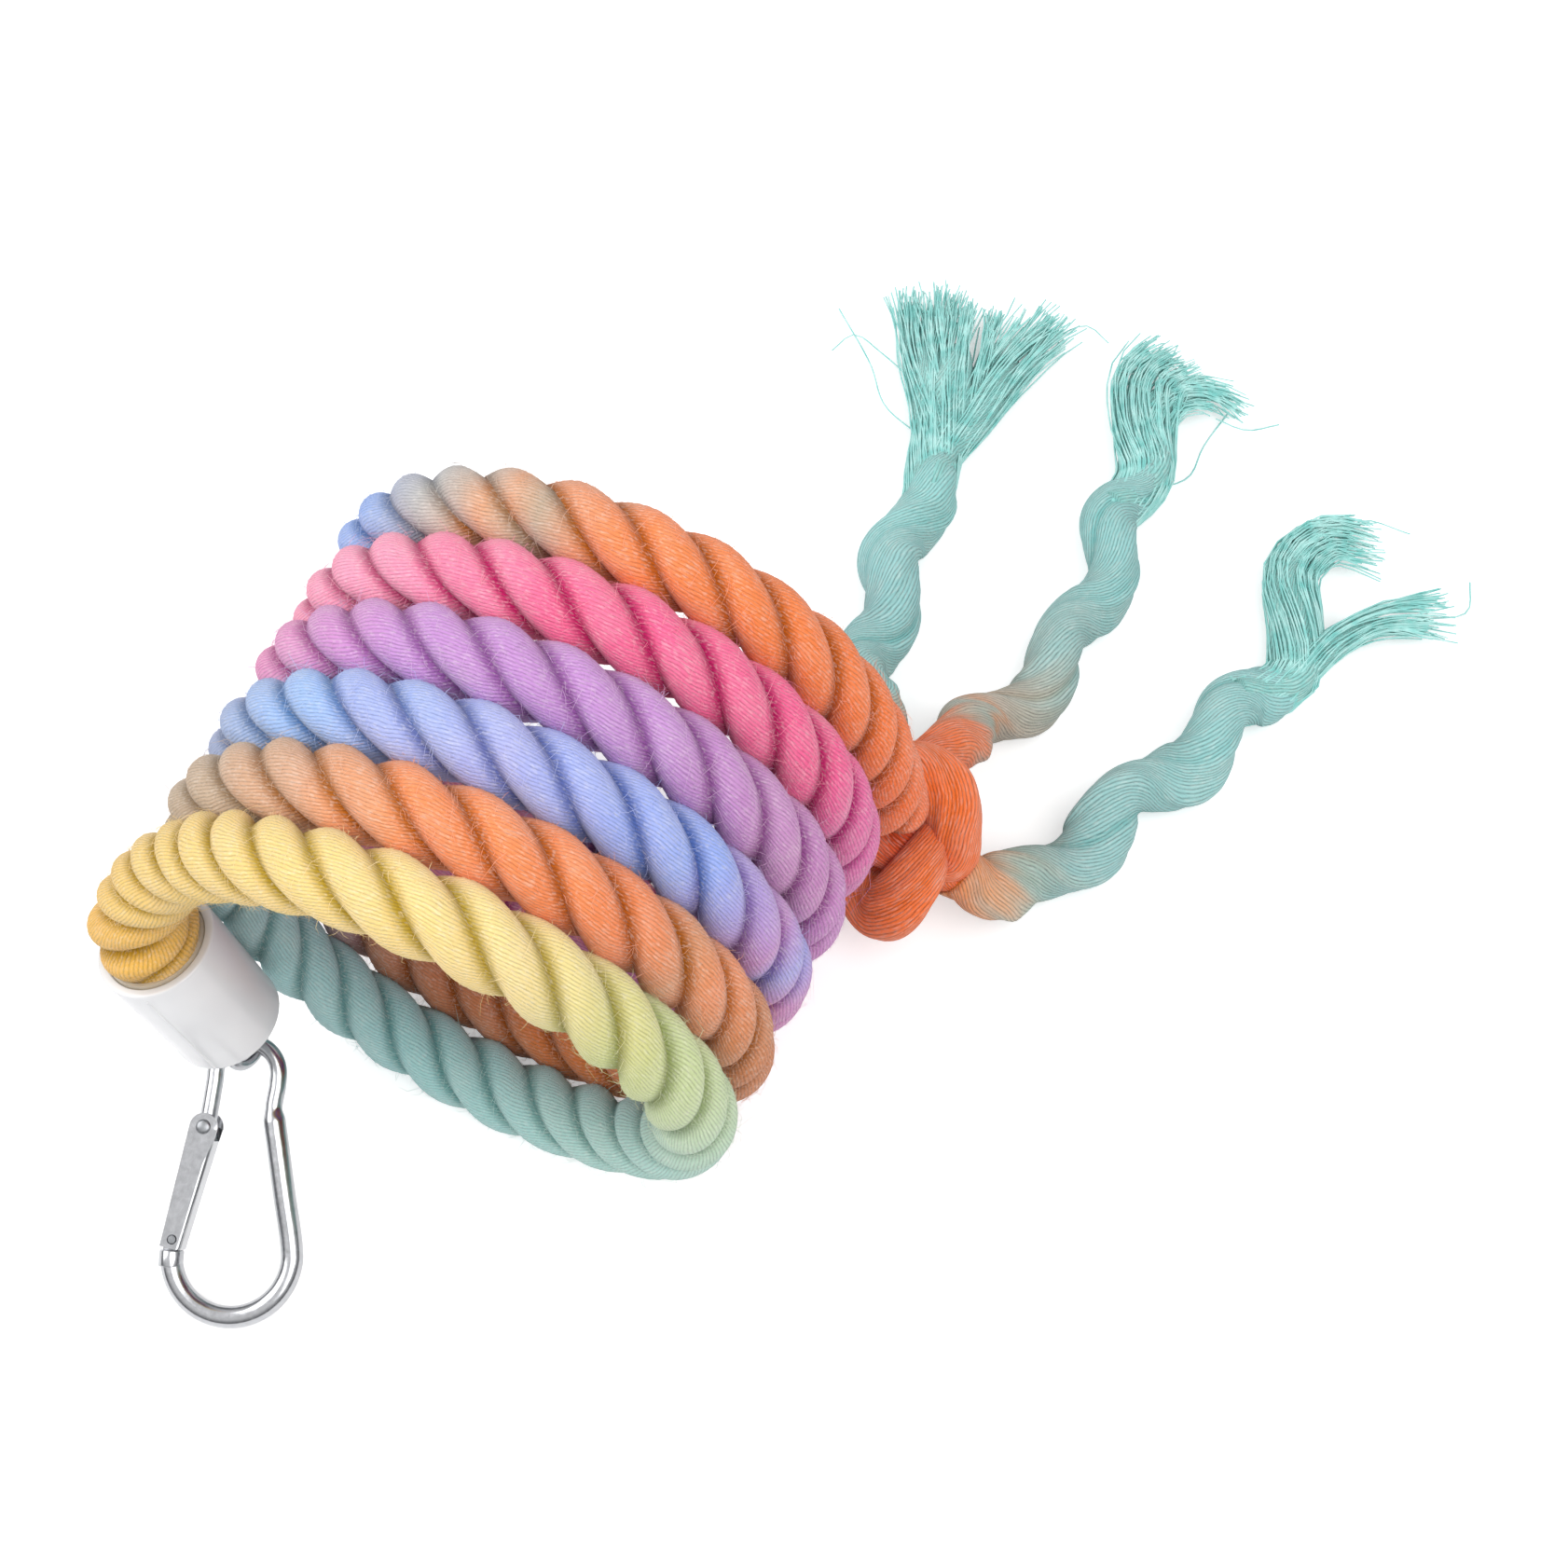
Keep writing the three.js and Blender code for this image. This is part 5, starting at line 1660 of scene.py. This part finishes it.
# %% Yarn material
YARN_TONE_SIZE = 3.846
yarn_material = new_material("single cotton yarn")
object_place = add(yarn_material, "TexCoord").outputs["Object"]
yarn_grain = {"Vector": object_place, "Scale": grains(YARN_TONE_SIZE), "Detail": 2}
yarn_noise = add(yarn_material, "TexNoise", yarn_grain)
yarn_ramp = add(yarn_material, "ValToRGB", {"Fac": fac(yarn_noise)})
yarn_ramp.color_ramp.elements[0].position = 0.3
yarn_ramp.color_ramp.elements[0].color = rgba("#86D0CA")
yarn_ramp.color_ramp.elements[1].position = 0.7
yarn_ramp.color_ramp.elements[1].color = rgba("#BDEAE5")
yarn_shader = add(
    yarn_material,
    "BsdfPrincipled",
    {
        "Base Color": yarn_ramp.outputs["Color"],
        "Roughness": 0.9,
        "Specular IOR Level": 0.2,
        "Sheen Weight": 0.2,
    },
)
add(yarn_material, "OutputMaterial", {"Surface": yarn_shader.outputs["BSDF"]})
for fray in frays.values():
    dress(fray, yarn_material)
print("yarn on", len(frays), "frayed ends")

# %% [markdown]
# ## Plastic
# The cap is injection-moulded ABS: glossy white, with a faint unevenness from the mould, about a
# centimetre from wave to wave, that bends its reflections.

# %% Plastic
MOULD_WAVE_SIZE = 11.11
white_plastic = new_material("glossy moulded ABS")
place = add(white_plastic, "TexCoord").outputs["Object"]
waves = add(white_plastic, "TexNoise", {"Vector": place, "Scale": grains(MOULD_WAVE_SIZE), "Detail": 1})
ripple = add(white_plastic, "Bump", {"Height": fac(waves), "Distance": 0.15 * MM, "Strength": 0.3})
tint = add(white_plastic, "ValToRGB", {"Fac": fac(waves)})
tint.color_ramp.elements[0].color = rgba("#D9D9DB")
tint.color_ramp.elements[1].color = rgba("#E6E6E7")
plastic = add(
    white_plastic,
    "BsdfPrincipled",
    {
        "Base Color": tint.outputs["Color"],
        "Roughness": 0.22,
        "IOR": 1.53,
        "Normal": ripple.outputs["Normal"],
    },
)
add(white_plastic, "OutputMaterial", {"Surface": plastic.outputs["BSDF"]})
dress(cap, white_plastic)
print("plastic on the cap")

# %% [markdown]
# ## Glue
# Hot glue sets to a slightly yellow, clear and uneven bead. About half of the light goes through it, and
# lumps of a few millimetres bend the highlights.

# %% Glue
GLUE_LUMP_SIZE = 2.5
clear_glue = new_material("set hot glue")
place = add(clear_glue, "TexCoord").outputs["Object"]
lumps = add(clear_glue, "TexNoise", {"Vector": place, "Scale": grains(GLUE_LUMP_SIZE), "Detail": 2})
glue_bump = add(clear_glue, "Bump", {"Height": fac(lumps), "Distance": 0.3 * MM, "Strength": 0.64})
glue_shader = add(
    clear_glue,
    "BsdfPrincipled",
    {
        "Base Color": rgba("#F2E7D2"),
        "Roughness": 0.18,
        "IOR": 1.49,
        "Transmission Weight": 0.55,
        "Normal": glue_bump.outputs["Normal"],
    },
)
add(clear_glue, "OutputMaterial", {"Surface": glue_shader.outputs["BSDF"]})
dress(glue, clear_glue)
print("glue on the mouth's ring")

# %% [markdown]
# ## Steel
# The hook, the gate and the eye are nickel-plated: bright and smooth, with fine marks of wear. The
# rivet, the wire in the rope and the small parts inside are plain drawn steel, greyer and duller. Both
# are one recipe with its own two greys, roughness and size of marks.

# %% Plated and plain steel
def steel(name, dark, light, roughness, mark_size):
    material = new_material(name)
    place = add(material, "TexCoord").outputs["Object"]
    wear = {"Vector": place, "Scale": grains(mark_size), "Detail": 3, "Roughness": 0.6}
    marks = add(material, "TexNoise", wear)
    tone = add(material, "ValToRGB", {"Fac": fac(marks)})
    tone.color_ramp.elements[0].color = rgba(dark)
    tone.color_ramp.elements[1].color = rgba(light)
    dulled = {"Value": fac(marks), "To Min": roughness - 0.06, "To Max": roughness + 0.08}
    rough = add(material, "MapRange", dulled)
    dents = add(material, "Bump", {"Height": fac(marks), "Distance": 0.03 * MM, "Strength": 0.4})
    shader = add(
        material,
        "BsdfPrincipled",
        {
            "Base Color": tone.outputs["Color"],
            "Metallic": 1.0,
            "Roughness": rough.outputs["Result"],
            "Normal": dents.outputs["Normal"],
        },
    )
    add(material, "OutputMaterial", {"Surface": shader.outputs["BSDF"]})
    return material


plated = steel("nickel-plated steel wire", "#A3A4A7", "#C2C3C6", 0.2, 1.4286)
plain = steel("plain drawn steel", "#77797C", "#A0A2A5", 0.34, 0.9091)
for piece in (hook, gate, eye):
    dress(piece, plated)
for piece in (rivet, wire):
    dress(piece, plain)
KEPT_NODES = ("latch_pin", "gate_plunger", "gate_spring", "eye_washer", "eye_nut")
for node in KEPT_NODES:
    dress(bpy.data.objects[node], plain)
print("steel on", 5 + len(KEPT_NODES), "pieces")

# %% [markdown]
# ## Floor, world and light
# The photograph has a plain white ground. The floor is a pale sheet that a camera ray also sees glowing
# a little, so it turns white where it is lit and keeps a soft shadow under the coil. The same white is
# shown to glossy and clear surfaces. For glossy ones the world is white above and greyer towards the
# horizon, as the walls of a studio are, because metal looks like metal only where it has both to mirror.

# %% Floor
FLOOR_HALF = 4
FLOOR_HEIGHT = -0.0004
bm = bmesh.new()
bmesh.ops.create_grid(bm, x_segments=1, y_segments=1, size=FLOOR_HALF)
floor = finished("floor", bm, Matrix.Translation((0, 0, FLOOR_HEIGHT)))
floor_material = new_material("pale paper sheet")
path = add(floor_material, "LightPath")
paper = add(floor_material, "BsdfDiffuse", {"Color": rgba("#EDEDED")})
glow = add(floor_material, "Emission", {"Color": (1, 1, 1, 1), "Strength": 0.4})
both = add(floor_material, "AddShader", {0: paper.outputs["BSDF"], 1: glow.outputs["Emission"]})
camera_or_gloss = {0: path.outputs["Is Camera Ray"], 1: path.outputs["Is Glossy Ray"]}
seen = add(floor_material, "Math", camera_or_gloss, operation="ADD").outputs["Value"]
or_glass = {0: seen, 1: path.outputs["Is Transmission Ray"]}
seen = add(floor_material, "Math", or_glass, operation="ADD", use_clamp=True).outputs["Value"]
either = {"Fac": seen, 1: paper.outputs["BSDF"], 2: both.outputs["Shader"]}
choice = add(floor_material, "MixShader", either)
add(floor_material, "OutputMaterial", {"Surface": choice.outputs["Shader"]})
dress(floor, floor_material)
print("floor: %d m across" % (2 * FLOOR_HALF))

# %% The world
world = bpy.data.worlds.new("studio")
bpy.context.scene.world = world
world.use_nodes = True
world.node_tree.nodes.clear()
path = add(world, "LightPath")
soft = add(world, "Background", {"Color": rgba("#F4F5F7"), "Strength": 0.6})
white = add(world, "Background", {"Color": (1, 1, 1, 1), "Strength": 1.0})
upward = add(world, "SeparateXYZ", {"Vector": add(world, "TexCoord").outputs["Generated"]})
tone = add(world, "ValToRGB", {"Fac": upward.outputs["Z"]})
tone.color_ramp.elements[0].position = 0.1
tone.color_ramp.elements[0].color = rgba("#5C5D60")
tone.color_ramp.elements[1].position = 0.75
tone.color_ramp.elements[1].color = rgba("#FFFFFF")
room = add(world, "Background", {"Color": tone.outputs["Color"], "Strength": 1.0})
mirrored = add(
    world,
    "MixShader",
    {"Fac": path.outputs["Is Glossy Ray"], 1: soft.outputs["Background"], 2: room.outputs["Background"]},
)
camera_or_glass = {0: path.outputs["Is Camera Ray"], 1: path.outputs["Is Transmission Ray"]}
seen = add(world, "Math", camera_or_glass, operation="ADD", use_clamp=True).outputs["Value"]
either = {"Fac": seen, 1: mirrored.outputs["Shader"], 2: white.outputs["Background"]}
mixed = add(world, "MixShader", either)
add(world, "OutputWorld", {"Surface": mixed.outputs["Shader"]})
print("world:", len(world.node_tree.nodes), "nodes")


# %% Two lamps
def soft_box(name, place, size, power):
    """A square lamp that looks at the middle of the part."""
    lamp = bpy.data.lights.new(name, "AREA")
    lamp.size = size
    lamp.energy = power
    holder = shown(name, lamp)
    holder.location = place
    holder.rotation_euler = (-Vector(place)).to_track_quat("-Z", "Y").to_euler()
    print("%s: %.1f W" % (name, power))


soft_box("key lamp", (-0.28, -0.6, 1.2), 1.0, 10.5)
soft_box("fill lamp", (-0.35, 0.95, 0.95), 1.0, 10)
bpy.context.scene.view_settings.view_transform = "Standard"
